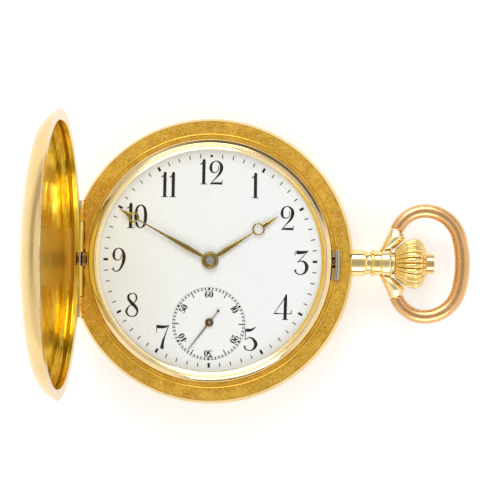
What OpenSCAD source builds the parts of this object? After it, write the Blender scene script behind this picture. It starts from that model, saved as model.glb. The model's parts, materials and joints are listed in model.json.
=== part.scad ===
// Full hunter pocket watch: gold case with two lids and an inner cover, crown winding,
// push-piece lid catch, small seconds and a lever movement.
// +Z points out of the dial, +X to the crown, +Y to 12 o'clock.
// The origin is the middle of the flat on the back lid.

/* [Case] */
// Width of the band's wall, from its bore to its widest point
band_w = 4.7; // [4.3:0.1:5.5]
// Height of the case band between its two lid seats
band_h = 4.8; // [4.7:0.1:5.4]
// How far the band bulges outside its seats
band_bulge = 0.6; // [0.4:0.05:0.9]
// Space between the movement and the bore of the band
movement_gap = 0.9; // [0.7:0.05:1.2]
// Height of the raised lip around the glass ring
lip_h = 0.6; // [0.4:0.05:0.8]
// Width of that lip
lip_w = 0.8; // [0.6:0.05:0.95]
// Wall of both lids
lid_wall = 0.6; // [0.45:0.05:0.8]
// Width of the flat rim of both lids
lid_rim_w = 2.0; // [1.6:0.1:2.1]
// Height of that rim
lid_rim_h = 0.85; // [0.6:0.05:1]
// Depth of the front lid
front_depth = 6.5; // [6:0.1:7.5]
// Radius of the round edge of the front lid
front_edge_r = 5; // [4.6:0.1:5.4]
// Depth of the back lid
back_depth = 4.55; // [4.5:0.05:5]
// Radius of the round edge of the back lid
back_edge_r = 4.2; // [4:0.1:4.4]
// Radius of the flat that the watch lies on
rest_flat_r = 7; // [5:0.5:9]
// Wall of the inner cover
cuvette_wall = 0.4; // [0.3:0.05:0.45]
// Clear depth of the inner cover
cuvette_depth = 3.3; // [3.2:0.05:3.4]

/* [Hinges and lid springs] */
// Front lid opening angle in the stored pose
front_open = 92; // [80:1:95]
// Outside diameter of the front hinge
front_knuckle_d = 1.6; // [1.4:0.05:1.7]
// Outside diameter of the back hinge
back_knuckle_d = 1.3; // [1.1:0.05:1.4]
// Outside diameter of the inner cover's hinge
cuvette_knuckle_d = 0.9; // [0.8:0.05:1]
// Diameter of the hinge pins
hinge_pin_d = 0.5; // [0.4:0.05:0.55]
// Length of the front hinge
front_hinge_l = 21.4; // [19:0.2:22]
// Length of the back hinge
back_hinge_l = 18; // [16:0.2:19]
// Length of the inner cover's hinge
cuvette_hinge_l = 8; // [7:0.2:9]
// Gap in the middle of the front hinge
hinge_gap = 2.5; // [2.3:0.1:3]
// Width of the lid catch at 3 o'clock
catch_w = 5.3; // [4.6:0.1:6]
// How far the middle of the lid catch lies below the winding stem
catch_drop = 0.6; // [0:0.1:0.8]
// Travel of the lid catch and its push-piece
catch_travel = 0.45; // [0.3:0.05:0.45]
// Travel of the lid lifting spring
lift_travel = 0.62; // [0.4:0.02:0.65]

/* [Pendant, crown and bow] */
// Diameter of the pendant neck
neck_d = 4.9; // [4.4:0.1:5]
// Length of the pendant outside the band
pendant_l = 6.9; // [6.5:0.1:7.9]
// Diameter of the winding stem
stem_d = 1.9; // [1.7:0.05:2]
// Largest diameter of the crown
crown_d = 9.3; // [8.6:0.1:9.4]
// Length of the crown
crown_l = 6.4; // [6:0.1:6.6]
// Number of ribs on the crown
crown_ribs = 26; // [20:1:30]
// How far the crown pulls out to set the hands
crown_pull = 0.9; // [0.6:0.1:0.9]
// Diameter of the push-piece in the crown
pusher_d = 3.8; // [3.2:0.1:4.2]
// How far the push-piece stands out of the crown
pusher_l = 1.3; // [1:0.1:1.8]
// Thickness of the bow wire
bow_wire_d = 2.6; // [2.2:0.1:2.7]
// Inside half width of the bow, across the watch
bow_half_w = 8.35; // [8.2:0.05:9]
// Inside half length of the bow
bow_half_l = 5.6; // [5.5:0.05:6]

/* [Dial side] */
// How far the dial reaches past the pillar plate
dial_overhang = 0.45; // [0.3:0.05:0.6]
// How far the glass ring covers the edge of the dial
dial_cover = 0.65; // [0.5:0.05:0.8]
// Thickness of the dial
dial_t = 0.6; // [0.5:0.05:0.7]
// Distance from the centre to the small seconds
seconds_offset = 11.2; // [11:0.05:11.4]
// Radius of the sunk seconds disc
seconds_sink_r = 6.7; // [6:0.1:7]
// Length of the minute hand
minute_hand_l = 19.2; // [18:0.1:19.4]
// Clock angle of the minute hand
minute_hand_angle = 299.5; // [0:0.5:360]
// Length of the hour hand
hour_hand_l = 14.9; // [13:0.1:15.5]
// Clock angle of the hour hand
hour_hand_angle = 56.5; // [0:0.5:360]
// Length of the seconds hand
seconds_hand_l = 6.1; // [5:0.1:6.4]
// Clock angle of the seconds hand
seconds_hand_angle = 217; // [0:1:360]
// Height of the glass ring above the band
bezel_h = 1.8; // [1.6:0.05:1.9]
// Height of the crystal above the glass ring
crystal_rise = 1.65; // [1.4:0.05:2]
// Thickness of the crystal
crystal_t = 0.8; // [0.6:0.05:0.9]

/* [Movement] */
// Diameter of the pillar plate
plate_d = 41; // [40.4:0.1:41]
// Thickness of the pillar plate
plate_t = 1.4; // [1.3:0.05:1.5]
// Thickness of the bridges
bridge_t = 1.5; // [1.4:0.05:1.55]
// Distance from the centre to the barrel
barrel_dist = 9.9; // [9.8:0.05:10]
// Direction of the barrel from the centre
barrel_angle = 50; // [48:1:52]
// Radius of the barrel drum
drum_r = 8.2; // [7.8:0.1:8.2]
// Teeth of the barrel
barrel_teeth = 78; // [72:1:80]
// Leaves of the centre pinion
centre_leaves = 12; // [12:1:14]
// Module of the centre wheel
centre_module = 0.165; // [0.16:0.001:0.168]
// Module of the third wheel
third_module = 0.15; // [0.148:0.001:0.152]
// Teeth of the fourth wheel
fourth_teeth = 80; // [78:1:80]
// Module of the fourth wheel
fourth_module = 0.12; // [0.118:0.001:0.122]
// Leaves of the escape pinion
escape_leaves = 8; // [8:1:9]
// Tip radius of the escape wheel
escape_r = 3.1; // [3:0.05:3.15]
// Outside radius of the balance rim
balance_r = 7.8; // [7.4:0.1:7.8]
// Radius of the impulse pin's circle on the balance
impulse_r = 0.95; // [0.9:0.05:1]
// Teeth of the ratchet wheel
ratchet_teeth = 39; // [36:1:42]
// Teeth of the crown wheel
crown_wheel_teeth = 27; // [25:1:29]
// Leaves of the winding pinion
winding_leaves = 14; // [13:1:15]
// Distance from the centre to the crown wheel
crown_wheel_x = 13.4; // [13.3:0.1:13.5]

/* [Hidden] */
$fn = 64;

// Colours
gold = "#d9a832";
rose_gold = "#cf8f5c";
steel = "#b9bdc4";
blued = "#3a4a78";
brass = "#cda24a";
gilt = "#d8bd7a";
ruby = "#b0183a";
enamel = "#f4f3ee";

// Clearances
seat_gap = 0.05;
run_gap = 0.05;
part_gap = 0.15;
eps = 0.01;

// Heights of the case, from the table up
bore_r = plate_d / 2 + movement_gap;
case_r = bore_r + band_w;
seat_r = case_r - band_bulge;
band_z0 = back_depth + seat_gap;
band_z1 = band_z0 + band_h;
band_arc_r = (pow(band_h / 2, 2) + pow(band_bulge, 2)) / (2 * band_bulge);
lid_r = seat_r - 0.2;
lid_in_r = lid_r - lid_rim_w;
lip_r = lid_in_r - 0.25;
stem_z = band_z0 + 1.8;

// Heights of the movement
bridge_z0 = band_z0 - 1.3;
bridge_z1 = bridge_z0 + bridge_t;
plate_z0 = bridge_z0 + 3.3;
plate_z1 = plate_z0 + plate_t;
dial_z0 = plate_z1 + 0.9;
dial_z1 = dial_z0 + dial_t;
dial_r = plate_d / 2 + dial_overhang;
dial_visible_r = dial_r - dial_cover;
dial_foot_r = dial_r - 2.2;
dial_foot_angles = [75, 165, 285];
ridge_z1 = plate_z0 + 1;
ridge_r = plate_d / 2 + run_gap * 2;
seat_bore_r = lip_r - lip_w;
plate_flange_r = seat_bore_r - part_gap;
plate_pocket_r = plate_d / 2 - 0.7;
wheel_z0 = bridge_z0 - 0.6;

// Glass ring and crystal
bezel_z0 = dial_z0 + seat_gap;
bezel_z1 = band_z1 + bezel_h;
bezel_r = seat_bore_r - run_gap;
glass_seat_z = bezel_z1 - 0.75;
glass_r = dial_visible_r + 0.45;
bezel_round = 1.9;
crystal_z1 = bezel_z1 + crystal_rise;
crystal_edge_z = bezel_z1 - 0.1;

// Hands
seconds_z = dial_z1 + 0.1;
hour_z = dial_z1 + 0.36;
minute_z = hour_z + 0.32;
hand_t = 0.13;

// Hinges
front_hinge_x = -lid_r + 1.4;
front_hinge_z = band_z1;
back_hinge_x = -lid_r + 1.2;
back_hinge_z = band_z0;
cuvette_r = bore_r + 1.1;
cuvette_hinge_x = -cuvette_r - 0.35;
cuvette_hinge_z = band_z0 - 0.3;
cuvette_z1 = band_z0 - 0.1;
front_knuckle_half = front_hinge_l * 0.32;
back_knuckle_half = back_hinge_l / 3;
cuvette_knuckle_half = cuvette_hinge_l / 4;
knuckle_gap = 0.1;
hinge_play = 0.04;
front_channel_x = front_hinge_x + front_knuckle_d / 2 + part_gap;
back_channel_x = back_hinge_x + back_knuckle_d / 2 + part_gap;
front_channel_z = front_hinge_z - (lid_r + front_hinge_x) - part_gap;
back_channel_z = back_hinge_z + (lid_r + back_hinge_x) + part_gap;

// Catch at 3 o'clock and lifting spring at 9 o'clock
catch_t = 0.42;
catch_x = bezel_r + catch_travel + 0.09;
catch_hook_z = band_z1 + seat_gap + lid_rim_h + 0.06;
catch_hook_h = 0.4;
spring_z0 = band_z0 + 0.4;
leaf_r = catch_x;
catch_a0 = -asin((catch_w / 2 + catch_drop) / leaf_r);
catch_a1 = asin((catch_w / 2 - catch_drop) / leaf_r);
lift_leaf_z = band_z0 + 2.15;

// Pendant, crown and bow
pendant_x0 = seat_r - 0.8;
neck_x0 = lid_r + 0.1;
foot_r = 1.75;
stem_r = stem_d / 2;
neck_r = neck_d / 2;
head_r = neck_r - 0.2;
pendant_end = case_r + pendant_l;
waist_x = pendant_end - 4.1;
bow_pivot_x = pendant_end - 1.1;
bow_hub_r = 1.05;
bow_stub_r = 0.55;
bow_flat_y = 1.6;
crown_x0 = pendant_end + 0.1;
crown_x1 = crown_x0 + crown_l;
crown_r = crown_d / 2;
rod_r = stem_r * 0.44;
pusher_x0 = crown_x1 - 1.2;
wire_r = bow_wire_d / 2;
bow_a = bow_half_l + wire_r;
bow_b = bow_half_w + wire_r;
bow_x = pendant_end + 6.2;
// The corner and end arcs of the bow meet on the long side of a 7-24-25 triangle
bow_arcs_gap = round((bow_b - bow_a) / 0.24 * 10) / 10;
bow_corner_y = 0.28 * bow_arcs_gap;
bow_corner_r = bow_b - bow_corner_y;
bow_end_r = bow_corner_r + bow_arcs_gap;
bow_end_x = bow_x - 0.96 * bow_arcs_gap;
bow_tangent = atan2(7, 24);
bow_side_r = 5.5;
bow_side_y = bow_b - bow_side_r;
bow_seam = 159.5;

// Places of the train, in the plane of the plate
function polar(r, a) = [r * cos(a), r * sin(a)];
function heading(p, q) = atan2(q[1] - p[1], q[0] - p[0]);
// Corner of a triangle that lies right of the line from p to q, da from p and db from q
function corner(p, q, da, db) =
    let (d = norm(q - p), u = (q - p) / d, s = (da * da - db * db + d * d) / (2 * d),
        h = sqrt(da * da - s * s))
    p + s * u + h * [-u[1], u[0]];
centre_teeth = 80;
third_leaves = 10;
third_teeth = 75;
fourth_leaves = 10;
third_dist = centre_module * (centre_teeth + third_leaves) / 2;
fourth_dist = third_module * (third_teeth + fourth_leaves) / 2;
escape_dist = fourth_module * (fourth_teeth + escape_leaves) / 2;
barrel_module = 2 * barrel_dist / (barrel_teeth + centre_leaves);
centre_pos = [0, 0];
barrel_pos = polar(barrel_dist, barrel_angle);
fourth_pos = [0, -seconds_offset];
third_pos = corner(centre_pos, fourth_pos, third_dist, fourth_dist);
escape_pos = fourth_pos + polar(escape_dist, 190);
lever_line = 132.2;
pallet_dist = escape_r / cos(30);
fork_reach = 3.07;
pallet_pos = escape_pos + polar(pallet_dist, lever_line);
balance_pos = pallet_pos + polar(fork_reach + impulse_r, lever_line);
balance_clear_r = balance_r + 0.8;
crown_wheel_pos = [crown_wheel_x, 0];
ratchet_module = 2 * norm(barrel_pos - crown_wheel_pos) / (ratchet_teeth + crown_wheel_teeth);
crown_wheel_r = ratchet_module * crown_wheel_teeth / 2;
winding_r = crown_wheel_r * winding_leaves / crown_wheel_teeth;
winding_x = crown_wheel_x + crown_wheel_r;
motion_dist = 3.9;
cannon_leaves = 12;
minute_teeth = 36;
minute_leaves = 10;
hour_teeth = 40;
cannon_module = 2 * motion_dist / (cannon_leaves + minute_teeth);
hour_module = 2 * motion_dist / (minute_leaves + hour_teeth);
minute_pos = [-motion_dist, 0];
cock_foot = balance_pos + polar(11.7, 120.3);
cock_z0 = wheel_z0 - 0.2;
cock_z1 = cock_z0 + 0.6;
pallet_foot = pallet_pos + polar(5.6, 221.5);
pallet_foot_b = escape_pos + polar(5.6, 256.6);
pallet_bridge_z0 = bridge_z1 - 0.2;
pallet_bridge_z1 = pallet_bridge_z0 + 0.35;
click_pos = barrel_pos + polar(ratchet_module * ratchet_teeth / 2 + 1.85, 152);
lever_pos = [17, 4.7];
lever_pin = [19.2, -0.2];
lever_elbow = [19.4, 2.9];

// Heights of the train
centre_wheel_z = bridge_z1 + 0.08;
drum_z0 = centre_wheel_z + 0.38;
drum_z1 = drum_z0 + 1.6;
barrel_teeth_z0 = drum_z1 + 0.05;
barrel_teeth_z1 = barrel_teeth_z0 + 0.6;
third_wheel_z = centre_wheel_z + 0.62;
fourth_wheel_z = third_wheel_z + 0.6;
escape_wheel_z = bridge_z1 + 0.4;
fork_z = escape_wheel_z - 0.05;
rim_z0 = bridge_z0 + 0.4;
rim_z1 = rim_z0 + 0.8;
roller_z = pallet_bridge_z0 + 0.2;
hairspring_z = cock_z1 + 0.1;

// General shapes
module disc(r, z0, z1) {
    translate([0, 0, z0]) cylinder(r = r, h = z1 - z0);
}

module ring(r_out, r_in, z0, z1) {
    difference() {
        disc(r_out, z0, z1);
        disc(r_in, z0 - 1, z1 + 1);
    }
}

module at(p) {
    translate([p[0], p[1], 0]) children();
}

module slab(z0, z1) {
    translate([0, 0, z0]) linear_extrude(z1 - z0) children();
}

module box(x0, x1, y0, y1, z0, z1) {
    translate([x0, y0, z0]) cube([x1 - x0, y1 - y0, z1 - z0]);
}

module sector_2d(r_out, r_in, a0, a1) {
    mid = (a0 + a1) / 2;
    difference() {
        circle(r_out);
        circle(r_in);
        rotate(a1) translate([-4 * r_out, 0]) square([8 * r_out, 4 * r_out]);
        rotate(a0) translate([-4 * r_out, -4 * r_out]) square([8 * r_out, 4 * r_out]);
        rotate(mid) translate([-4 * r_out, -4 * r_out]) square([4 * r_out, 8 * r_out]);
    }
}

// A cylinder along Y through x, z, from y0 to y1
module y_rod(x, z, r, y0, y1) {
    translate([x, y0, z]) rotate([-90, 0, 0]) cylinder(r = r, h = y1 - y0);
}

// A cylinder along the stem axis from x0 to x1
module stem_rod(r, x0, x1) {
    translate([x0, 0, stem_z]) rotate([0, 90, 0]) cylinder(r = r, h = x1 - x0);
}

// A profile of [distance along the stem, radius] turned around the stem axis
module stem_revolve() {
    translate([0, 0, stem_z]) rotate([0, 90, 0]) rotate_extrude() children();
}

// Turns a profile of [x, r] to the form that stem_revolve turns
module stem_profile(points) {
    polygon([for (p = points) [p[1], p[0]]]);
}

// Trapezoidal teeth with one point at each corner
function tooth_points(n, m, add, ded) =
    let (pitch = 360 / n, root = m * (n / 2 - ded), tip = m * (n / 2 + add))
    [for (i = [0 : n - 1], k = [[root, -0.3], [tip, -0.12], [tip, 0.12], [root, 0.3]])
        polar(k[0], (i + k[1]) * pitch)];

// A wheel whose tooth 0 points along the angle turn
module wheel_2d(n, m, turn, add = 1, ded = 1.25) {
    rotate(turn) polygon(tooth_points(n, m, add, ded));
}

// A gap, not a tooth, points along turn
module gap_wheel_2d(n, m, turn, add = 1, ded = 1.25) {
    wheel_2d(n, m, turn + 180 / n, add, ded);
}

// The windows between the arms of a wheel
module windows_2d(r_out, r_in, arms, arm_w, turn = 0) {
    difference() {
        circle(r_out);
        circle(r_in);
        for (i = [0 : arms - 1])
            rotate(turn + i * 360 / arms) translate([0, -arm_w / 2]) square([r_out + 1, arm_w]);
    }
}

// Pivoted arbor from z0 to z1 with thinner pivots of length p at each end
module arbor(r, z0, z1, pivot_r, pivot_l) {
    disc(r, z0 + pivot_l, z1 - pivot_l);
    disc(pivot_r, z0, z1);
}

// Lids and covers
function dome_c(a, edge_r, drop) = a - sqrt(edge_r * edge_r - drop * drop);
function dome_r(a, b, edge_r, drop) =
    let (c = dome_c(a, edge_r, drop), h = b + drop)
    (c * c + h * h - edge_r * edge_r) / (2 * (h - edge_r));

// Half section of a dome of radius a and height b: a round edge that runs into a flat crown
module dome_2d(a, b, edge_r, drop, inset = 0, floor = 0) {
    c = dome_c(a, edge_r, drop);
    big_r = dome_r(a, b, edge_r, drop);
    big_z = b - big_r;
    turn = atan2(c, -drop - big_z);
    reach = 2 * big_r;
    intersection() {
        translate([0, floor]) square([a + 1, b + 1]);
        union() {
            intersection() {
                translate([0, big_z]) circle(big_r - inset);
                polygon([[0, big_z], [0, big_z + reach],
                    [reach * sin(turn), big_z + reach * cos(turn)]]);
            }
            translate([c, -drop]) circle(edge_r - inset);
        }
    }
}

// Half section of a lid: dome, hollow and flat rim
module lid_2d(b, edge_r, drop) {
    difference() {
        dome_2d(lid_r, b, edge_r, drop);
        dome_2d(lid_r, b, edge_r, drop, lid_wall, -0.3);
    }
    intersection() {
        dome_2d(lid_r, b, edge_r, drop);
        translate([lid_in_r, 0]) square([lid_rim_w + 1, lid_rim_h]);
    }
}

// Hinge tubes in pairs on both sides of the middle, from y0 to y1
module knuckles(x, z, r, y0, y1) {
    for (s = [0, 1])
        mirror([0, s, 0]) y_rod(x, z, r, y0, y1);
}

module front_lid_closed() {
    difference() {
        union() {
            translate([0, 0, front_hinge_z + seat_gap])
                rotate_extrude() lid_2d(front_depth, front_edge_r, 1.5);
            knuckles(front_hinge_x, front_hinge_z, front_knuckle_d / 2, hinge_gap / 2,
                front_knuckle_half);
        }
        y_rod(front_hinge_x, front_hinge_z, hinge_pin_d / 2 + hinge_play, -front_hinge_l,
            front_hinge_l);
        knuckles(front_hinge_x, front_hinge_z, front_knuckle_d / 2 + knuckle_gap,
            front_knuckle_half, front_hinge_l);
        y_rod(front_hinge_x, front_hinge_z, front_knuckle_d / 2 + knuckle_gap, -hinge_gap / 2,
            hinge_gap / 2);
    }
}

module front_lid() color(gold) {
    translate([front_hinge_x, 0, front_hinge_z]) rotate([0, -front_open, 0])
        translate([-front_hinge_x, 0, -front_hinge_z]) front_lid_closed();
}

module back_lid() color(gold) {
    flat_sag = rest_flat_r * rest_flat_r / (2 * dome_r(lid_r, back_depth, back_edge_r, 0.6));
    difference() {
        union() {
            translate([0, 0, back_depth]) mirror([0, 0, 1]) rotate_extrude() intersection() {
                lid_2d(back_depth + flat_sag, back_edge_r, 0.6);
                square([lid_r + 1, back_depth]);
            }
            y_rod(back_hinge_x, back_hinge_z, back_knuckle_d / 2, -back_knuckle_half,
                back_knuckle_half);
        }
        y_rod(back_hinge_x, back_hinge_z, hinge_pin_d / 2 + hinge_play, -back_hinge_l, back_hinge_l);
        knuckles(back_hinge_x, back_hinge_z, back_knuckle_d / 2 + knuckle_gap, back_knuckle_half,
            back_hinge_l);
        y_rod(cuvette_hinge_x, cuvette_hinge_z, cuvette_knuckle_d / 2 + 2 * part_gap,
            -cuvette_hinge_l / 2 - part_gap, cuvette_hinge_l / 2 + part_gap);
    }
}

module cuvette() color(gold) {
    difference() {
        union() {
            translate([0, 0, cuvette_z1]) mirror([0, 0, 1]) rotate_extrude() difference() {
                dome_2d(cuvette_r, cuvette_depth, 2.95, 0.3);
                dome_2d(cuvette_r, cuvette_depth, 2.95, 0.3, cuvette_wall, -0.2);
            }
            y_rod(cuvette_hinge_x, cuvette_hinge_z, cuvette_knuckle_d / 2, -cuvette_knuckle_half,
                cuvette_knuckle_half);
        }
        y_rod(cuvette_hinge_x, cuvette_hinge_z, hinge_pin_d / 2 + hinge_play, -cuvette_hinge_l,
            cuvette_hinge_l);
        knuckles(cuvette_hinge_x, cuvette_hinge_z, cuvette_knuckle_d / 2 + knuckle_gap,
            cuvette_knuckle_half, cuvette_hinge_l);
        disc(bore_r + 0.7, cuvette_z1 - 0.7, cuvette_z1 + 1);
    }
}

module front_hinge_pin() color(steel)
    y_rod(front_hinge_x, front_hinge_z, hinge_pin_d / 2, -front_hinge_l / 2, front_hinge_l / 2);

module back_hinge_pin() color(steel)
    y_rod(back_hinge_x, back_hinge_z, hinge_pin_d / 2, -back_hinge_l / 2, back_hinge_l / 2);

module cuvette_hinge_pin() color(steel)
    y_rod(cuvette_hinge_x, cuvette_hinge_z, hinge_pin_d / 2, -cuvette_hinge_l / 2,
        cuvette_hinge_l / 2);

// Case band
module band_2d() {
    mid = (band_z0 + band_z1) / 2;
    difference() {
        union() {
            intersection() {
                translate([ridge_r, band_z0]) square([case_r, band_h]);
                translate([case_r - band_arc_r, mid]) circle(band_arc_r);
            }
            translate([seat_bore_r - 0.2, band_z1 - 0.2]) square([lip_w + 0.2, lip_h + 0.2]);
            translate([bore_r, band_z0 - 0.7]) square([0.65, 0.8]);
        }
        translate([lip_r + 0.25, band_z1 + lip_h]) circle(0.5);
        translate([0, ridge_z1]) square([seat_bore_r, band_h + lip_h]);
        translate([0, band_z0 - 1]) square([bore_r, plate_z0 - band_z0 + 1]);
    }
}

module hinge_webs(x, r, half, length, z0, z1) {
    for (s = [0, 1])
        mirror([0, s, 0])
            box(x - r * 0.75, x + r + part_gap + 0.1, half + knuckle_gap, length / 2, z0, z1);
}

module case_band() color(gold) {
    front_r = front_knuckle_d / 2;
    back_r = back_knuckle_d / 2;
    cuvette_kr = cuvette_knuckle_d / 2;
    difference() {
        union() {
            difference() {
                rotate_extrude() band_2d();
                box(-case_r - 1, front_channel_x, -front_hinge_l / 2 - knuckle_gap,
                    front_hinge_l / 2 + knuckle_gap, front_channel_z, band_z1 + 2);
                box(-case_r - 1, back_channel_x, -back_hinge_l / 2 - knuckle_gap,
                    back_hinge_l / 2 + knuckle_gap, band_z0 - 1, back_channel_z);
                y_rod(cuvette_hinge_x, cuvette_hinge_z, cuvette_kr + knuckle_gap,
                    -cuvette_knuckle_half - eps, cuvette_knuckle_half + eps);
            }
            intersection() {
                union() {
                    knuckles(front_hinge_x, front_hinge_z, front_r,
                        front_knuckle_half + knuckle_gap, front_hinge_l / 2);
                    hinge_webs(front_hinge_x, front_r, front_knuckle_half, front_hinge_l,
                        front_channel_z - 0.1, front_hinge_z);
                    knuckles(back_hinge_x, back_hinge_z, back_r,
                        back_knuckle_half + knuckle_gap, back_hinge_l / 2);
                    hinge_webs(back_hinge_x, back_r, back_knuckle_half, back_hinge_l,
                        back_hinge_z, back_channel_z + 0.1);
                    knuckles(cuvette_hinge_x, cuvette_hinge_z, cuvette_kr,
                        cuvette_knuckle_half + knuckle_gap, cuvette_hinge_l / 2);
                }
                disc(case_r, 0, band_z1 + 3);
            }
        }
        y_rod(front_hinge_x, front_hinge_z, hinge_pin_d / 2, -case_r, case_r);
        y_rod(back_hinge_x, back_hinge_z, hinge_pin_d / 2, -case_r, case_r);
        y_rod(cuvette_hinge_x, cuvette_hinge_z, hinge_pin_d / 2, -case_r, case_r);
        catch_pocket();
        lift_pocket();
        stem_rod(stem_r + 0.15, bore_r - 2, case_r + 2);
        stem_rod(1.65, catch_x, catch_x + catch_t + 0.3 + crown_pull + 0.3);
        stem_rod(foot_r, pendant_x0, case_r + 2);
        stem_rod(neck_r, neck_x0, case_r + 2);
    }
}

// Room for the catch spring: an arc for the leaf and a slot for the nib
module catch_pocket() {
    slab(spring_z0 - 0.1, spring_z0 + 2.2)
        sector_2d(leaf_r + catch_t + 0.1, bore_r - 1.5, -66, 0);
    box(bore_r - 1.5, catch_x + catch_t + 0.1, -catch_w / 2 - catch_drop - 0.1,
        catch_w / 2 - catch_drop + 0.1, spring_z0 - 0.1, band_z1 + lip_h + 1);
}

module catch_spring() color(steel) {
    difference() {
        union() {
            slab(spring_z0, spring_z0 + 1.9)
                sector_2d(leaf_r + catch_t, leaf_r, -62, -2);
            slab(spring_z0, catch_hook_z + catch_hook_h)
                sector_2d(leaf_r + catch_t, leaf_r, catch_a0, catch_a1);
            slab(catch_hook_z, catch_hook_z + catch_hook_h)
                sector_2d(leaf_r + 2 * catch_t, leaf_r, catch_a0, catch_a1);
        }
        stem_rod(stem_r + 0.17, catch_x - 2, catch_x + 4);
    }
}

// Room for the lifting spring: an arc for the leaf and a slot for its finger
module lift_pocket() {
    slab(lift_leaf_z - lift_travel - 0.04, lift_leaf_z + 0.5)
        sector_2d(leaf_r + 0.1, bore_r - 1.5, 177, 240);
    box(front_hinge_x + 0.4, -bore_r + 1.5, -hinge_gap / 2 + 0.1, hinge_gap / 2 - 0.1,
        lift_leaf_z - lift_travel - 0.04, band_z1 - 0.9);
    box(front_hinge_x + 0.4, -seat_bore_r - 0.2, -hinge_gap / 2 + 0.1, hinge_gap / 2 - 0.1,
        band_z1 - 1, band_z1 + lip_h + 1);
}

module lift_spring() color(steel) {
    slab(lift_leaf_z, lift_leaf_z + 0.4) sector_2d(leaf_r, leaf_r - 0.4, 178, 236);
    box(front_hinge_x + 0.55, -leaf_r + 0.3, -0.6, 0.6, lift_leaf_z, lift_leaf_z + 0.4);
    box(front_hinge_x + 0.55, front_hinge_x + 1.25, -0.6, 0.6, lift_leaf_z, band_z1 + 0.55);
}

// Glass ring, crystal and dial
module bezel() color(gold) {
    height = bezel_z1 - bezel_z0;
    rotate_extrude() difference() {
        union() {
            translate([0, bezel_z0]) square([bezel_r, band_z1 + 0.5 - bezel_z0]);
            intersection() {
                translate([0, band_z1]) square([bezel_r, bezel_h]);
                translate([glass_r, bezel_z1 - bezel_round]) circle(bezel_round);
            }
            translate([0, band_z1]) square([glass_r + seat_gap, bezel_h]);
        }
        translate([-1, bezel_z0 - 1]) square([dial_r + 1.1, dial_t + 1.1]);
        translate([-1, bezel_z0]) square([dial_visible_r + 1, height + 1]);
        translate([-1, glass_seat_z]) square([glass_r + 1 + run_gap, height]);
    }
}

module crystal() color("#dfeef5", 0.35) {
    outer_sag = crystal_z1 - crystal_edge_z;
    outer_r = (pow(glass_r - 0.1, 2) + pow(outer_sag, 2)) / (2 * outer_sag);
    inner_z = crystal_z1 - crystal_t;
    inner_sag = inner_z - glass_seat_z;
    inner_edge = dial_visible_r - 0.3;
    inner_r = (pow(inner_edge, 2) + pow(inner_sag, 2)) / (2 * inner_sag);
    rotate_extrude() difference() {
        intersection() {
            translate([0, glass_seat_z + seat_gap]) square([glass_r, 4]);
            translate([0, crystal_z1 - outer_r]) circle(outer_r);
        }
        translate([0, inner_z - inner_r]) circle(inner_r);
    }
}

module dial() color(enamel) {
    difference() {
        union() {
            disc(dial_r, dial_z0, dial_z1);
            for (a = dial_foot_angles)
                at(polar(dial_foot_r, a)) disc(0.4, dial_z0 - 1.6, dial_z0 + eps);
        }
        disc(1.25, dial_z0 - 1, dial_z1 + 1);
        at(fourth_pos) {
            disc(0.4, dial_z0 - 1, dial_z1 + 1);
            disc(seconds_sink_r, dial_z1 - 0.1, dial_z1 + 1);
        }
    }
}

// Hands: a blade that narrows to a ring, with a pointed tip beyond the ring
module hand_2d(length, ring_at, ring_r, ring_in, root_w, mid_w, end_w, tip_w) {
    difference() {
        union() {
            polygon([[-root_w / 2, 0], [-mid_w / 2, ring_at * 0.35], [-end_w / 2, ring_at],
                [end_w / 2, ring_at], [mid_w / 2, ring_at * 0.35], [root_w / 2, 0]]);
            translate([0, ring_at]) circle(ring_r);
            polygon([[-tip_w / 2, ring_at + ring_r * 0.8], [0, length],
                [tip_w / 2, ring_at + ring_r * 0.8]]);
        }
        translate([0, ring_at]) circle(ring_in);
    }
}

module hour_hand() color(brass) {
    difference() {
        union() {
            rotate(-hour_hand_angle) slab(hour_z, hour_z + hand_t)
                hand_2d(hour_hand_l, hour_hand_l - 4.3, 1.14, 0.8, 1.2, 0.85, 0.34, 0.9);
            disc(1.55, hour_z, hour_z + 0.2);
        }
        disc(1.05, hour_z - 1, hour_z + 1);
    }
}

module minute_hand() color(brass) {
    difference() {
        union() {
            rotate(-minute_hand_angle) slab(minute_z, minute_z + hand_t)
                hand_2d(minute_hand_l, minute_hand_l - 3.3, 0.98, 0.6, 0.95, 0.7, 0.28, 0.8);
            disc(1.4, minute_z, minute_z + 0.22);
        }
        disc(0.7, minute_z - 1, minute_z + 1);
    }
}

module seconds_hand() color("#8a5a34") {
    at(fourth_pos) {
        difference() {
            union() {
                rotate(-seconds_hand_angle) slab(seconds_z, seconds_z + 0.1) {
                    polygon([[-0.13, -2.4], [-0.2, 0], [-0.06, seconds_hand_l],
                        [0.06, seconds_hand_l], [0.2, 0], [0.13, -2.4]]);
                    translate([0, -2.6]) circle(0.35);
                }
                disc(0.75, seconds_z, seconds_z + 0.2);
            }
            disc(0.2, seconds_z - 1, seconds_z + 1);
        }
    }
}

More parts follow.
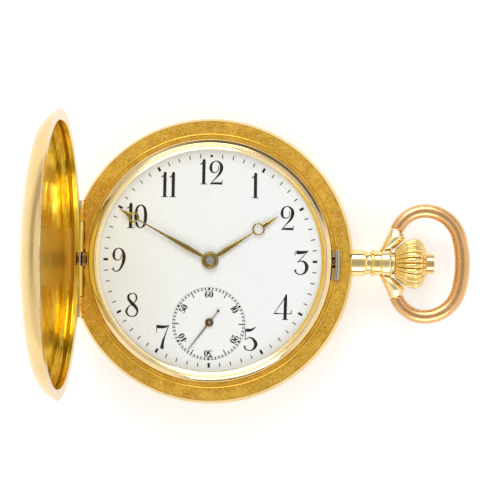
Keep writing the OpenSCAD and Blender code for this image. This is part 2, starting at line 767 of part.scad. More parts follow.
// Pendant with its waist, bead and head, and the holes and flats for the bow
module pendant() color(gold) {
    difference() {
        stem_revolve() {
            difference() {
                stem_profile([[pendant_x0, 0], [pendant_x0, foot_r], [neck_x0, foot_r],
                    [neck_x0, neck_r], [waist_x - 0.9, neck_r], [waist_x - 0.8, neck_r - 0.2],
                    [waist_x + 0.8, neck_r - 0.2], [waist_x + 2.1, neck_r - 0.1],
                    [waist_x + 2.3, head_r], [pendant_end - 0.9, head_r],
                    [pendant_end - 0.8, neck_r], [pendant_end - 0.15, neck_r],
                    [pendant_end, neck_r - 0.15], [pendant_end, 0]]);
                translate([neck_r + 0.85, waist_x]) circle(1.25);
            }
            translate([neck_r - 0.3, waist_x + 0.75]) circle(0.35);
        }
        stem_rod(stem_r + 0.12, pendant_x0 - 1, pendant_end + 1);
        y_rod(bow_pivot_x, stem_z, bow_stub_r + run_gap, -neck_r - 1, neck_r + 1);
        for (s = [0, 1])
            mirror([0, s, 0])
                y_rod(bow_pivot_x, stem_z, bow_hub_r + 0.2, bow_flat_y, neck_r + 1);
    }
}

// Bow: an oval of arcs, open where its ends meet the pendant. The arcs of wire_arc start at the
// tangent point, and side +1 turns them up from there, -1 down.
module wire_arc(x, y, r, side, turn) {
    translate([x, y, stem_z])
        multmatrix([[0.96, -0.28 * side, 0, 0], [0.28, 0.96 * side, 0, 0], [0, 0, 1, 0]])
            rotate_extrude(angle = turn) translate([r, 0]) circle(wire_r);
}

module bow() color(rose_gold) {
    for (s = [0, 1])
        mirror([0, s, 0]) {
            translate([bow_x, bow_side_y, stem_z]) rotate(90)
                rotate_extrude(angle = bow_seam - 90) translate([bow_side_r, 0]) circle(wire_r);
            intersection() {
                union() {
                    wire_arc(bow_x, bow_corner_y, bow_corner_r, 1, 95 - bow_tangent);
                    wire_arc(bow_end_x, 0, bow_end_r, -1, bow_tangent + 5);
                }
                box(bow_x, bow_x + bow_a + bow_wire_d, 0, bow_b + bow_wire_d, 0, band_z1 + 2);
            }
        }
}

module bow_ends() color(gold) {
    seam = [bow_x, bow_side_y] + polar(bow_side_r, bow_seam);
    for (s = [0, 1])
        mirror([0, s, 0]) {
            hull() {
                translate([seam[0], seam[1], stem_z]) rotate(bow_seam) rotate([-90, 0, 0])
                    cylinder(r = wire_r, h = 0.05, $fn = 32);
                translate([bow_x - 5.1, neck_r + 2.2, stem_z]) sphere(r = 1.15, $fn = 24);
                translate([bow_x - 4.15, neck_r + 2.5, stem_z]) sphere(r = 0.62, $fn = 24);
                translate([bow_pivot_x, neck_r + 0.6, stem_z]) rotate([90, 0, 0])
                    cylinder(r = bow_hub_r, h = 1, center = true, $fn = 32);
            }
            y_rod(bow_pivot_x, stem_z, bow_hub_r - 0.1, bow_flat_y + seat_gap, neck_r + 1);
            y_rod(bow_pivot_x, stem_z, bow_stub_r, stem_r + 0.3, neck_r + 1);
        }
}

// Crown: a ribbed onion, hollow for the push-piece
module crown_2d(inset) {
    stem_profile([[crown_x0, 0], [crown_x0, 2.3 - inset], [crown_x0 + 0.6, 2.3 - inset],
        [crown_x0 + 0.75, 2.6 - inset], [crown_x0 + 2.5, crown_r - 0.42 - inset],
        [crown_x0 + 3.8, crown_r - 0.08 - inset], [crown_x0 + 4.3, crown_r - inset],
        [crown_x1 - 1.5, crown_r - 0.18 - inset], [crown_x1 - 0.9, crown_r - 0.75 - inset],
        [crown_x1 - 0.4, crown_r - 1.5 - inset], [crown_x1 - 0.1, crown_r - 2.1 - inset],
        [crown_x1, crown_r - 2.3 - inset], [crown_x1, 0]]);
}

module crown() color(gold) {
    rib_w = PI * crown_d / crown_ribs * 0.55;
    difference() {
        union() {
            stem_revolve() crown_2d(0.22);
            intersection() {
                stem_revolve() crown_2d(0);
                for (i = [0 : crown_ribs - 1])
                    translate([0, 0, stem_z]) rotate([i * 360 / crown_ribs, 0, 0])
                        box(crown_x0 + 0.68, crown_x1 + 1, -rib_w / 2, rib_w / 2, 1.5,
                            crown_r + 1);
            }
        }
        stem_rod(stem_r, crown_x0 - 1, crown_x1);
        stem_rod(pusher_d / 2 + 0.06, pusher_x0 - catch_travel - 0.1, crown_x1 + 1);
    }
}

// Hollow winding stem with a slot for the push-piece's cross pin
module winding_stem() color(steel) {
    bore_x = catch_x - 0.3;
    pin_x = catch_x + catch_t + seat_gap;
    end_x = pusher_x0 - catch_travel - 0.2;
    difference() {
        union() {
            stem_rod(0.45, crown_wheel_x - 0.8, crown_wheel_x + 0.6);
            stem_rod(stem_r * 0.8, crown_wheel_x + 0.5, end_x - 6);
            stem_rod(stem_r, winding_x + 0.9, end_x);
        }
        stem_rod(rod_r + run_gap, bore_x, end_x + 1);
        box(pin_x - catch_travel - 0.1, pin_x + 0.6, -0.26, 0.26, stem_z - 2, stem_z + 2);
        difference() {
            stem_rod(stem_r + 1, lever_pin[0] - 0.25, lever_pin[0] + 0.25);
            stem_rod(stem_r * 0.6, lever_pin[0] - 1, lever_pin[0] + 1);
        }
    }
}

// Push-piece in the crown: knob, rod and the cross pin that moves the catch
module lid_pusher() color(gold) {
    pin_x = catch_x + catch_t + seat_gap + 0.22;
    difference() {
        union() {
            stem_rod(pusher_d / 2, pusher_x0, crown_x1 + pusher_l - 0.2);
            stem_rod(pusher_d / 2 - 0.2, pusher_x0, crown_x1 + pusher_l);
            stem_rod(rod_r, pin_x - 0.35, pusher_x0 + eps);
            translate([pin_x, 0, stem_z - 1.5]) cylinder(r = 0.2, h = 3);
        }
        difference() {
            stem_rod(rod_r + 0.45, pusher_x0 - 1, pusher_x0 + 0.75);
            stem_rod(rod_r, pusher_x0 - 2, pusher_x0 + 1);
        }
    }
}

// Coil spring between the end of the stem and the push-piece
function coil_ring(c, u, v, r, n) = [for (i = [0 : n - 1])
    let (a = i * 360 / n) c + r * (cos(a) * u + sin(a) * v)];

module pusher_spring() color(steel) {
    turns = 3.5;
    steps = 14;
    sides = 6;
    wire = 0.12;
    coil_r = rod_r + 0.1 + wire;
    x0 = pusher_x0 - catch_travel - 0.2 + wire + 0.03;
    x1 = pusher_x0 + 0.75 - wire - 0.03;
    count = turns * steps;
    rings = [for (k = [0 : count])
        let (a = k * 360 / steps, x = x0 + (x1 - x0) * k / count, out = [0, cos(a), sin(a)])
        coil_ring([x, 0, stem_z] + coil_r * out, out, [1, 0, 0], wire, sides)];
    walls = [for (k = [0 : count - 1], i = [0 : sides - 1])
        let (j = (i + 1) % sides)
        [k * sides + i, (k + 1) * sides + i, (k + 1) * sides + j, k * sides + j]];
    polyhedron(points = [for (r = rings, p = r) p],
        faces = concat([[for (i = [0 : sides - 1]) i]], walls,
            [[for (i = [sides - 1 : -1 : 0]) count * sides + i]]));
}

// Pillar plate
module main_plate() color(gilt) {
    train = [third_pos, fourth_pos, escape_pos, pallet_pos, balance_pos];
    difference() {
        union() {
            disc(plate_d / 2, plate_z0, plate_z1);
            ring(plate_flange_r, plate_pocket_r, ridge_z1 + 0.02, dial_z0 - 0.02);
            at(minute_pos) disc(0.35, plate_z1 - eps, dial_z0 - 0.1);
            at(lever_pos) disc(0.5, plate_z1 - eps, dial_z0 - 0.1);
        }
        disc(0.7, plate_z0 - 1, plate_z1 + 1);
        disc(1.75, plate_z0 - 1, plate_z1 - 0.3);
        at(barrel_pos) {
            disc(barrel_module * (barrel_teeth / 2 + 1) + 0.25, plate_z0 - 1, barrel_teeth_z1 + 0.12);
            disc(0.95, plate_z0 - 1, plate_z1 + 1);
        }
        for (p = train) at(p) disc(0.8, plate_z0 - 1, plate_z1 + 1);
        box(winding_x - 4.6, winding_x + 1.1, -winding_r - 0.6, winding_r + 0.6, plate_z0 - 1,
            plate_z1 + 1);
        stem_rod(stem_r + 0.04, winding_x, plate_flange_r + 1);
        stem_rod(0.5, crown_wheel_x - 1.4, crown_wheel_x + 2.6);
        box(lever_pin[0] - 0.3, lever_pin[0] + crown_pull + 0.3, -0.6, 0.7, stem_z, plate_z1 + 1);
        slab(plate_z1, dial_z0) sector_2d(dial_r, dial_r - 2.95, -7, 15);
        for (a = dial_foot_angles)
            at(polar(dial_foot_r, a)) disc(0.45, plate_z0 - 1, plate_z1 + 2);
        for (a = [35, 215]) at(polar(plate_d / 2 - 1, a)) disc(0.6, plate_z0 - 1, plate_z1 - 0.2);
    }
}

// Bridges: an outline at bridge height with feet that stand on the plate
module bridge_holes(pivots, screws) {
    for (p = pivots) at(p) disc(0.8, bridge_z0 - 1, bridge_z1 + 1);
    for (p = screws) at(p) {
        disc(0.95, bridge_z0 - 1, bridge_z0 + 0.5);
        disc(0.5, bridge_z0 - 1, plate_z0 + 1);
    }
}

bridge_edge_r = plate_d / 2 - 0.9;
barrel_screws = [polar(bridge_edge_r - 2, 104), polar(bridge_edge_r - 2, 140),
    polar(bridge_edge_r - 1.4, 15.5)];
train_screws = [polar(bridge_edge_r - 1.5, -30), polar(bridge_edge_r - 1.5, -62),
    polar(bridge_edge_r - 1.3, -94)];
cock_screw = cock_foot + polar(0.7, 120);
pallet_screws = [pallet_foot, pallet_foot_b];

module balance_room() {
    at(balance_pos) circle(balance_clear_r);
}

module barrel_bridge() color(gilt) {
    third_y = third_pos[1];
    difference() {
        union() {
            slab(bridge_z0, bridge_z1) difference() {
                intersection() {
                    circle(bridge_edge_r);
                    polygon([[-plate_d / 2, 10], [-13.6, 7], [-12.4, 4.6], [-3.4, -2.6],
                        [crown_wheel_x - 6.2, -2.6], [crown_wheel_x - 4.2, third_y + 0.45],
                        [plate_d / 2, third_y + 0.45], [plate_d / 2, plate_d / 2],
                        [-plate_d / 2, plate_d / 2]]);
                }
                balance_room();
            }
            slab(bridge_z1 - eps, plate_z0) sector_2d(bridge_edge_r, bridge_edge_r - 4, 98, 146);
            slab(bridge_z1 - eps, plate_z0)
                sector_2d(bridge_edge_r, bridge_edge_r - 2.6, 12.5, 19);
        }
        bridge_holes([centre_pos], barrel_screws);
        at(barrel_pos) disc(1.05, bridge_z0 - 1, bridge_z1 + 1);
        at(crown_wheel_pos) ring(crown_wheel_r + 0.65, 2.9, bridge_z0 - 1, bridge_z1 - 0.35);
        box(winding_x - 1, winding_x + 1.1, -2.2, 2.2, bridge_z0 + 0.5, bridge_z1 + 1);
        at(crown_wheel_pos) disc(0.6, bridge_z0 - 1, bridge_z1 + 1);
        at(click_pos) disc(0.3, bridge_z0 - 1, bridge_z1 + 1);
    }
}

module train_bridge() color(gilt) {
    third_y = third_pos[1];
    difference() {
        union() {
            slab(bridge_z0, bridge_z1) difference() {
                intersection() {
                    circle(bridge_edge_r);
                    polygon([[-2.2, -2.9], [crown_wheel_x - 6.4, -2.9],
                        [crown_wheel_x - 4.4, third_y + 0.15], [plate_d / 2, third_y + 0.15],
                        [plate_d / 2, -plate_d / 2], [-2.6, -plate_d / 2], [-2.6, -14]]);
                }
                balance_room();
            }
            slab(bridge_z1 - eps, plate_z0) sector_2d(bridge_edge_r, bridge_edge_r - 3, -72, -21);
            slab(bridge_z1 - eps, plate_z0)
                sector_2d(bridge_edge_r, bridge_edge_r - 2.6, -97.5, -88);
        }
        bridge_holes([third_pos, fourth_pos], train_screws);
    }
}

module pallet_bridge() color(gilt) {
    difference() {
        union() {
            slab(pallet_bridge_z0, pallet_bridge_z1) {
                hull() {
                    at(escape_pos) circle(1.15);
                    at(pallet_pos) circle(1.15);
                    at(pallet_foot) circle(1.3);
                }
                hull() {
                    at(escape_pos) circle(1.15);
                    at(pallet_foot_b) circle(1.2);
                }
            }
            at(pallet_foot) disc(1.15, pallet_bridge_z0 + 0.1, plate_z0);
            at(pallet_foot_b) disc(1.05, pallet_bridge_z0 + 0.1, plate_z0);
        }
        for (p = [escape_pos, pallet_pos]) at(p) disc(0.7, 0, plate_z0);
        for (p = pallet_screws) at(p) {
            disc(0.75, 0, pallet_bridge_z0 + 0.3);
            disc(0.4, 0, plate_z0 + 1);
        }
    }
}

module balance_cock() color(gilt) {
    stud = balance_pos + polar(5.3, 165);
    difference() {
        union() {
            slab(cock_z0, cock_z1) {
                hull() {
                    at(balance_pos) circle(2.3);
                    at(cock_foot) circle(2.2);
                }
                hull() {
                    at(balance_pos) circle(1.4);
                    at(stud) circle(0.6);
                }
            }
            at(cock_foot) disc(2, cock_z0 + 0.1, plate_z0);
            at(stud) disc(0.32, cock_z1 - eps, cock_z1 + 0.4);
        }
        at(balance_pos) disc(0.85, 0, cock_z1 + 1);
        at(cock_screw) {
            disc(1, 0, cock_z0 + 0.45);
            disc(0.5, 0, plate_z0 + 1);
        }
    }
}

module regulator() color(steel) {
    turn = 120;
    tail = 235;
    difference() {
        slab(cock_z0 - 0.28, cock_z0 - 0.05) at(balance_pos) {
            circle(1.75);
            rotate(turn) polygon([[0, -0.5], [3.4, -0.12], [4.6, 0], [3.4, 0.12], [0, 0.5]]);
            rotate(tail) translate([0, -0.35]) square([5.25, 0.7]);
        }
        at(balance_pos) disc(0.95, 0, cock_z1);
    }
    at(balance_pos) for (r = [4.41, 4.86])
        at(polar(r, tail)) disc(0.1, cock_z0 - 0.1, hairspring_z + 0.3);
}

// Barrel with its cover, arbor and mainspring
module barrel_drum() color(brass) {
    at(barrel_pos) difference() {
        union() {
            disc(drum_r, drum_z0, drum_z1);
            slab(drum_z1 - eps, barrel_teeth_z1)
                wheel_2d(barrel_teeth, barrel_module, barrel_angle + 180);
        }
        disc(drum_r - 0.4, drum_z0 - 1, drum_z1);
        disc(1.0, drum_z0, barrel_teeth_z1 + 1);
    }
}

module barrel_cover() color(brass) {
    at(barrel_pos) ring(drum_r - 0.4 - eps, 1.3, drum_z0, drum_z0 + 0.2);
}

module barrel_arbor() color(steel) {
    at(barrel_pos) {
        disc(0.9, barrel_teeth_z0 - 0.1, plate_z1 - 0.02);
        disc(2.2, drum_z0 + 0.25, drum_z1 - 0.05);
        disc(1.2, drum_z0 - 0.2, drum_z0 + 0.3);
        disc(1.0, bridge_z0 + 0.02, drum_z0);
        translate([-0.75, -0.75, wheel_z0 + 0.02]) cube([1.5, 1.5, bridge_z0 - wheel_z0 + 0.1]);
    }
}

function spiral(r0, r1, turns, steps) = [for (k = [0 : turns * steps])
    polar(r0 + (r1 - r0) * k / (turns * steps), k * 360 / steps)];

module strip_spiral(r0, r1, turns, steps, t) {
    inner = spiral(r0, r1, turns, steps);
    outer = spiral(r0 + t, r1 + t, turns, steps);
    count = len(outer) - 1;
    polygon(concat(inner, [for (k = [count : -1 : 0]) outer[k]]));
}

module mainspring() color(blued) {
    at(barrel_pos) slab(drum_z0 + 0.3, drum_z1 - 0.08)
        strip_spiral(2.35, drum_r - 0.4 - 0.3, 9, 24, 0.2);
}

module ratchet_wheel() color(steel) {
    at(barrel_pos) difference() {
        slab(wheel_z0, bridge_z0 - 0.06)
            gap_wheel_2d(ratchet_teeth, ratchet_module, heading(barrel_pos, crown_wheel_pos), 0.8, 1.1);
        translate([-0.77, -0.77, wheel_z0 - 1]) cube([1.54, 1.54, 3]);
        disc(1.1, wheel_z0 - 1, wheel_z0 + 0.15);
    }
}

// Crown wheel: spur teeth for the ratchet wheel and face teeth for the winding pinion
module crown_wheel() color(steel) {
    face_z = stem_z - winding_r;
    pitch = 360 / crown_wheel_teeth;
    at(crown_wheel_pos) difference() {
        union() {
            slab(wheel_z0, bridge_z0 - 0.06)
                wheel_2d(crown_wheel_teeth, ratchet_module, heading(crown_wheel_pos, barrel_pos), 0.8, 1.1);
            rotate_extrude() polygon([[0, wheel_z0], [crown_wheel_r - 0.38, wheel_z0],
                [crown_wheel_r - 0.38, bridge_z0 - 0.02], [crown_wheel_r + 0.4, bridge_z0 - 0.02],
                [crown_wheel_r + 0.4, face_z - 0.25], [crown_wheel_r - 0.95, face_z - 0.25],
                [crown_wheel_r - 0.95, bridge_z0 - 0.06], [0, bridge_z0 - 0.06]]);
            intersection() {
                ring(crown_wheel_r + 0.4, crown_wheel_r - 0.45, face_z - 0.3, face_z + 0.2);
                for (i = [0 : crown_wheel_teeth - 1])
                    rotate((i + 0.5) * pitch) rotate([90, 0, 90])
                        slab(crown_wheel_r - 1, crown_wheel_r + 1)
                            polygon([[-0.27, face_z - 0.3], [0.27, face_z - 0.3],
                                [0.11, face_z + 0.2], [-0.11, face_z + 0.2]]);
            }
        }
        disc(0.55 + run_gap, 0, bridge_z1);
        disc(1.25, 0, wheel_z0 + 0.3);
    }
}

module winding_pinion() color(steel) {
    translate([winding_x - 0.75, 0, stem_z]) rotate([0, 90, 0]) difference() {
        slab(0, 1.5) wheel_2d(winding_leaves, 2 * winding_r / winding_leaves, 0, 0.6, 0.9);
        cylinder(r = stem_r * 0.8 + run_gap, h = 10, center = true);
    }
}

module clutch_wheel() color(steel) {
    translate([winding_x - 3.3, 0, stem_z]) rotate([0, 90, 0]) difference() {
        union() {
            cylinder(r = 1.6, h = 0.7);
            cylinder(r = 1.2, h = 1.7);
            translate([0, 0, 1.6]) cylinder(r = 1.6, h = 0.7);
        }
        cylinder(r = stem_r * 0.8 + run_gap, h = 10, center = true);
        for (i = [0 : 9])
            rotate(i * 36) box(0.9, 2, -0.12, 0.12, -0.1, 0.3);
    }
}

// Setting lever: its pin rides in the groove of the stem
module setting_lever() color(steel) {
    difference() {
        union() {
            slab(plate_z1 + 0.05, plate_z1 + 0.4) {
                hull() {
                    at(lever_pos) circle(1.1);
                    at(lever_elbow) circle(0.5);
                }
                hull() {
                    at(lever_elbow) circle(0.5);
                    at(lever_pin) circle(0.4);
                }
                hull() {
                    at(lever_pos) circle(0.9);
                    at(lever_pos + [-2.4, 1.2]) circle(0.4);
                }
            }
            at(lever_pin) disc(0.18, stem_z + stem_r * 0.6 + 0.1, plate_z1 + 0.2);
        }
        at(lever_pos) disc(0.5 + run_gap, 0, dial_z0);
    }
}

// Click that holds the ratchet wheel, and its spring
module click() color(steel) {
    to_wheel = heading(click_pos, barrel_pos);
    reach = norm(click_pos - barrel_pos) - ratchet_module * (ratchet_teeth / 2 + 0.8);
    difference() {
        slab(wheel_z0 + 0.05, bridge_z0 - 0.06) at(click_pos) {
            circle(0.95);
            rotate(to_wheel - 30) polygon([[0, -0.9], [reach * 0.8, -0.5], [reach * 1.02, 0.62],
                [reach * 0.75, 0.75], [0, 0.9]]);
        }
        at(click_pos) disc(0.3 + run_gap, 0, bridge_z1);
    }
}

module click_spring() color(steel) {
    away = heading(barrel_pos, click_pos);
    at(click_pos) slab(wheel_z0 + 0.1, bridge_z0 - 0.02)
        rotate(away) at([-1.2, 0]) sector_2d(2.9, 2.6, -80, 60);
    at(click_pos) rotate(away) at([-1.2, 0]) at(polar(2.75, 60))
        disc(0.3, wheel_z0 + 0.1, bridge_z0 - 0.02);
}

// Going train
module train_wheel(n, m, turn, z0, t, rim, arms, bore) {
    slab(z0, z0 + t) difference() {
        wheel_2d(n, m, turn);
        windows_2d(m * n / 2 - rim, bore + 0.7, arms, 0.55, 15);
        circle(bore);
    }
}

module centre_wheel() color(brass)
    train_wheel(centre_teeth, centre_module, heading(centre_pos, third_pos), centre_wheel_z, 0.24,
        0.9, 5, 0.6);

module centre_pinion() color(steel) {
    disc(0.6, centre_wheel_z - 0.02, plate_z1 - 0.35);
    disc(0.42, bridge_z0 + 0.1, minute_z + 0.35);
    disc(0.5, bridge_z0 + 0.1, centre_wheel_z);
    slab(barrel_teeth_z0 - 0.15, barrel_teeth_z1 + 0.03)
        gap_wheel_2d(centre_leaves, barrel_module, barrel_angle, 0.9, 1.3);
}

module third_wheel() color(brass) at(third_pos)
    train_wheel(third_teeth, third_module, heading(third_pos, fourth_pos), third_wheel_z, 0.21,
        0.8, 5, 0.4);

module third_pinion() color(steel) at(third_pos) {
    arbor(0.4, bridge_z0 + 0.1, plate_z1 - 0.1, 0.14, 1.3);
    slab(centre_wheel_z - 0.03, centre_wheel_z + 0.5)
        gap_wheel_2d(third_leaves, centre_module, heading(third_pos, centre_pos), 0.9, 1.3);
}

module fourth_wheel() color(brass) at(fourth_pos)
    train_wheel(fourth_teeth, fourth_module, heading(fourth_pos, escape_pos), fourth_wheel_z, 0.2,
        0.7, 5, 0.3);

module fourth_pinion() color(steel) at(fourth_pos) {
    disc(0.3, bridge_z1 - 0.05, plate_z0 + 0.2);
    disc(0.14, bridge_z0 + 0.1, plate_z1);
    disc(0.19, plate_z0, seconds_z + 0.2);
    slab(third_wheel_z - 0.15, third_wheel_z + 0.35)
        gap_wheel_2d(fourth_leaves, third_module, heading(fourth_pos, third_pos), 0.9, 1.3);
}

// Escape wheel with fifteen club teeth
module escape_wheel() color(brass) at(escape_pos) {
    teeth = 15;
    root = escape_r - 0.8;
    pitch = 360 / teeth;
    profile = [[root, -0.2], [escape_r - 0.12, 0.02], [escape_r, 0.2], [escape_r - 0.25, 0.21],
        [root, 0.12]];
    slab(escape_wheel_z, escape_wheel_z + 0.25) rotate(lever_line) difference() {
        polygon([for (i = [0 : teeth - 1], k = profile) polar(k[0], (i - 0.11 + k[1]) * pitch)]);
        windows_2d(root - 0.45, 0.85, 4, 0.45, 15);
        circle(0.25);
    }
}

module escape_pinion() color(steel) at(escape_pos) {
    arbor(0.25, pallet_bridge_z0 + 0.05, plate_z1 - 0.1, 0.1, 0.45);
    slab(fourth_wheel_z - 0.15, fourth_wheel_z + 0.35)
        gap_wheel_2d(escape_leaves, fourth_module, heading(escape_pos, fourth_pos), 0.9, 1.3);
}

// Lever: two arms with stones, a fork towards the balance and its own arbor
stone_gap = 0.2;

module pallet_fork() color(steel) at(pallet_pos) {
    difference() {
        rotate(lever_line) slab(fork_z, fork_z + 0.35) {
            circle(0.42);
            polygon([[0, -0.4], [fork_reach - 0.9, -0.22], [fork_reach - 0.7, -0.5],
                [fork_reach + 0.12, -0.5], [fork_reach + 0.12, 0.5], [fork_reach - 0.7, 0.5],
                [fork_reach - 0.9, 0.22], [0, 0.4]]);
            for (s = [0, 1])
                mirror([0, s]) {
                    polygon([[-0.35, 0], [-0.2, 1.6], [0.35, 1.8], [0.35, 0]]);
                    translate([-pallet_dist, 0]) rotate(30) translate([escape_r + 0.52, -0.4])
                        square([0.83, 0.8]);
                }
        }
        rotate(lever_line) slab(fork_z - 1, fork_z + 1)
            translate([fork_reach - 0.35, -0.18]) square([1, 0.36]);
        rotate(lever_line) pallet_stone_seats(0.01);
    }
    arbor(0.22, pallet_bridge_z0 + 0.05, plate_z1 - 0.1, 0.1, 0.4);
}

// The stones stand on the tangent points of the escape wheel, just clear of its tips
module pallet_stone_seats(extra) {
    escape_at = [-pallet_dist, 0];
    for (s = [-1, 1]) {
        tip = escape_at + polar(escape_r + stone_gap, s * 30);
        translate([tip[0], tip[1], 0]) rotate(s * 30)
            translate([0, -0.17 - extra, fork_z - extra])
                cube([0.95, 0.34 + 2 * extra, 0.35 + 2 * extra]);
    }
}

module pallet_stones() color(ruby) at(pallet_pos)
    rotate(lever_line) pallet_stone_seats(0);

// Balance with its timing screws, staff, roller and hairspring
module balance_wheel() color(brass) at(balance_pos) {
    difference() {
        union() {
            ring(balance_r, balance_r - 0.6, rim_z0, rim_z1);
            rotate(30) box(-balance_r + 0.3, balance_r - 0.3, -0.4, 0.4, rim_z0 + 0.2, rim_z1 - 0.15);
            disc(1, rim_z0 + 0.15, rim_z1);
        }
        disc(0.4, 0, rim_z1 + 1);
        for (a = [45, 225])
            rotate(a) box(balance_r - 2, balance_r + 1, -0.08, 0.08, rim_z0 - 1, rim_z1 + 1);
        for (i = [0 : 13]) rotate(i * 360 / 14 + 8) translate([balance_r - 0.3, 0, (rim_z0 + rim_z1) / 2])
            rotate([0, 90, 0]) cylinder(r = 0.16, h = 2);
    }
}

module balance_screws() color(brass) at(balance_pos)
    for (i = [0 : 13])
        rotate(i * 360 / 14 + 8) translate([balance_r - 0.25, 0, (rim_z0 + rim_z1) / 2])
            rotate([0, 90, 0]) {
                cylinder(r = 0.15, h = 0.4);
                translate([0, 0, 0.26]) cylinder(r = 0.3, h = 0.4);
            }

module balance_staff() color(steel) at(balance_pos) {
    disc(0.39, rim_z0 - 0.1, roller_z - 0.05);
    disc(0.3, cock_z1 + 0.05, plate_z0 + 0.35);
    disc(0.1, cock_z0 + 0.2, plate_z1 - 0.2);
    disc(0.7, hairspring_z - 0.06, hairspring_z + 0.3);
}

module impulse_roller() color(ruby) at(balance_pos) {
    difference() {
        disc(1.25, roller_z, roller_z + 0.15);
        disc(0.31, 0, plate_z0);
    }
    at(polar(impulse_r, lever_line + 180)) disc(0.14, roller_z + 0.1, fork_z + 0.3);
}

module hairspring() color(blued) at(balance_pos) slab(hairspring_z, hairspring_z + 0.22)
    rotate(165) strip_spiral(0.78, 4.9, 11, 20, 0.06);

// Rubies: one pressed into a bridge and one into the plate for each pivot
module jewel(p, z0, z1, hole_r, r) {
    at(p) ring(r, hole_r, z0, z1);
}

module jewels() color(ruby) {
    for (p = [third_pos, fourth_pos]) {
        jewel(p, bridge_z0 + 0.05, bridge_z0 + 0.6, 0.17, 0.8 - eps);
        jewel(p, plate_z1 - 0.5, plate_z1 - 0.05, p == fourth_pos ? 0.23 : 0.17, 0.8 - eps);
    }
    for (p = [escape_pos, pallet_pos]) {
        jewel(p, pallet_bridge_z0 + 0.02, pallet_bridge_z0 + 0.3, 0.12, 0.7 - eps);
        jewel(p, plate_z1 - 0.5, plate_z1 - 0.05, 0.12, 0.8 - eps);
    }
    jewel(balance_pos, cock_z0 + 0.12, cock_z0 + 0.5, 0.12, 0.85 - eps);
    jewel(balance_pos, plate_z1 - 0.5, plate_z1 - 0.05, 0.12, 0.8 - eps);
    jewel(centre_pos, bridge_z0 + 0.05, bridge_z0 + 0.8, 0.52, 0.8 - eps);
}

// A slotted screw whose head lies at z and whose shank points up
module screw(p, z, head_r, head_h, shank_r, shank_end, slot_turn) {
    at(p) difference() {
        union() {
            disc(head_r, z, z + head_h);
            disc(shank_r, z, shank_end);
        }
        rotate(slot_turn) box(-head_r - 1, head_r + 1, -0.1, 0.1, z - 1, z + 0.15);
    }
}

module bridge_screws() color(blued) {
    for (i = [0 : 2]) {
        screw(barrel_screws[i], bridge_z0 + 0.03, 0.9, 0.45, 0.45, plate_z0 - 0.02, i * 55);
        screw(train_screws[i], bridge_z0 + 0.03, 0.9, 0.45, 0.45, plate_z0 - 0.02, i * 70 + 20);
    }
    screw(cock_screw, cock_z0 + 0.03, 0.95, 0.4, 0.45, plate_z0 - 0.02, 35);
    for (p = pallet_screws)
        screw(p, pallet_bridge_z0 + 0.02, 0.7, 0.26, 0.35, plate_z0 - 0.02, 80);
    screw(crown_wheel_pos, wheel_z0 + 0.02, 1.2, 0.26, 0.55, bridge_z1 - 0.02, 25);
    screw(barrel_pos, wheel_z0 - 0.25, 1.05, 0.26, 0.3, wheel_z0 + 0.01, 60);
    screw(click_pos, wheel_z0 - 0.2, 0.75, 0.23, 0.28, bridge_z1 - 0.02, 100);
}

module case_screws() color(steel)
    for (a = [35, 215])
        screw(polar(plate_d / 2 - 1, a), plate_z0 - 0.42, 1.5, 0.4, 0.55, plate_z1 - 0.25, a + 10);

// Motion work under the dial
module cannon_pinion() color(steel) difference() {
    union() {
        disc(0.69, plate_z1 + 0.05, minute_z + 0.2);
        slab(plate_z1 + 0.08, plate_z1 + 0.42)
            wheel_2d(cannon_leaves, cannon_module, 180, 0.9, 1.2);
    }
    disc(0.43, plate_z0, minute_z + 1);
}

module minute_wheel() color(brass) at(minute_pos) difference() {
    union() {
        slab(plate_z1 + 0.15, plate_z1 + 0.35) gap_wheel_2d(minute_teeth, cannon_module, 0);
        slab(plate_z1 + 0.34, plate_z1 + 0.8) wheel_2d(minute_leaves, hour_module, 0, 0.9, 1.2);
    }
    disc(0.35 + run_gap, plate_z0, dial_z0);
}

module hour_wheel() color(brass) difference() {
    union() {
        slab(plate_z1 + 0.5, plate_z1 + 0.72) gap_wheel_2d(hour_teeth, hour_module, 180);
        disc(1.04, plate_z1 + 0.5, hour_z + 0.2);
    }
    disc(0.75, plate_z0, minute_z);
}

case_band();
pendant();
front_lid();
back_lid();
cuvette();
front_hinge_pin();
back_hinge_pin();
cuvette_hinge_pin();
bezel();
crystal();
catch_spring();
lift_spring();
crown();
winding_stem();
lid_pusher();
pusher_spring();
bow();
bow_ends();
dial();
hour_hand();
minute_hand();
seconds_hand();
cannon_pinion();
minute_wheel();
hour_wheel();
main_plate();
barrel_bridge();
train_bridge();
pallet_bridge();
balance_cock();
barrel_drum();
barrel_cover();
barrel_arbor();
mainspring();
ratchet_wheel();
crown_wheel();
click();
click_spring();
centre_wheel();
centre_pinion();
third_wheel();
third_pinion();
fourth_wheel();
fourth_pinion();
escape_wheel();
escape_pinion();
pallet_fork();
pallet_stones();
balance_wheel();
balance_screws();
balance_staff();
impulse_roller();
hairspring();
regulator();
jewels();
bridge_screws();
case_screws();
winding_pinion();
clutch_wheel();
setting_lever();
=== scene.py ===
"""Full hunter pocket watch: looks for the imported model, its stage, lights and camera."""
import bmesh
import bpy
import json
import math
from mathutils import Matrix, Vector

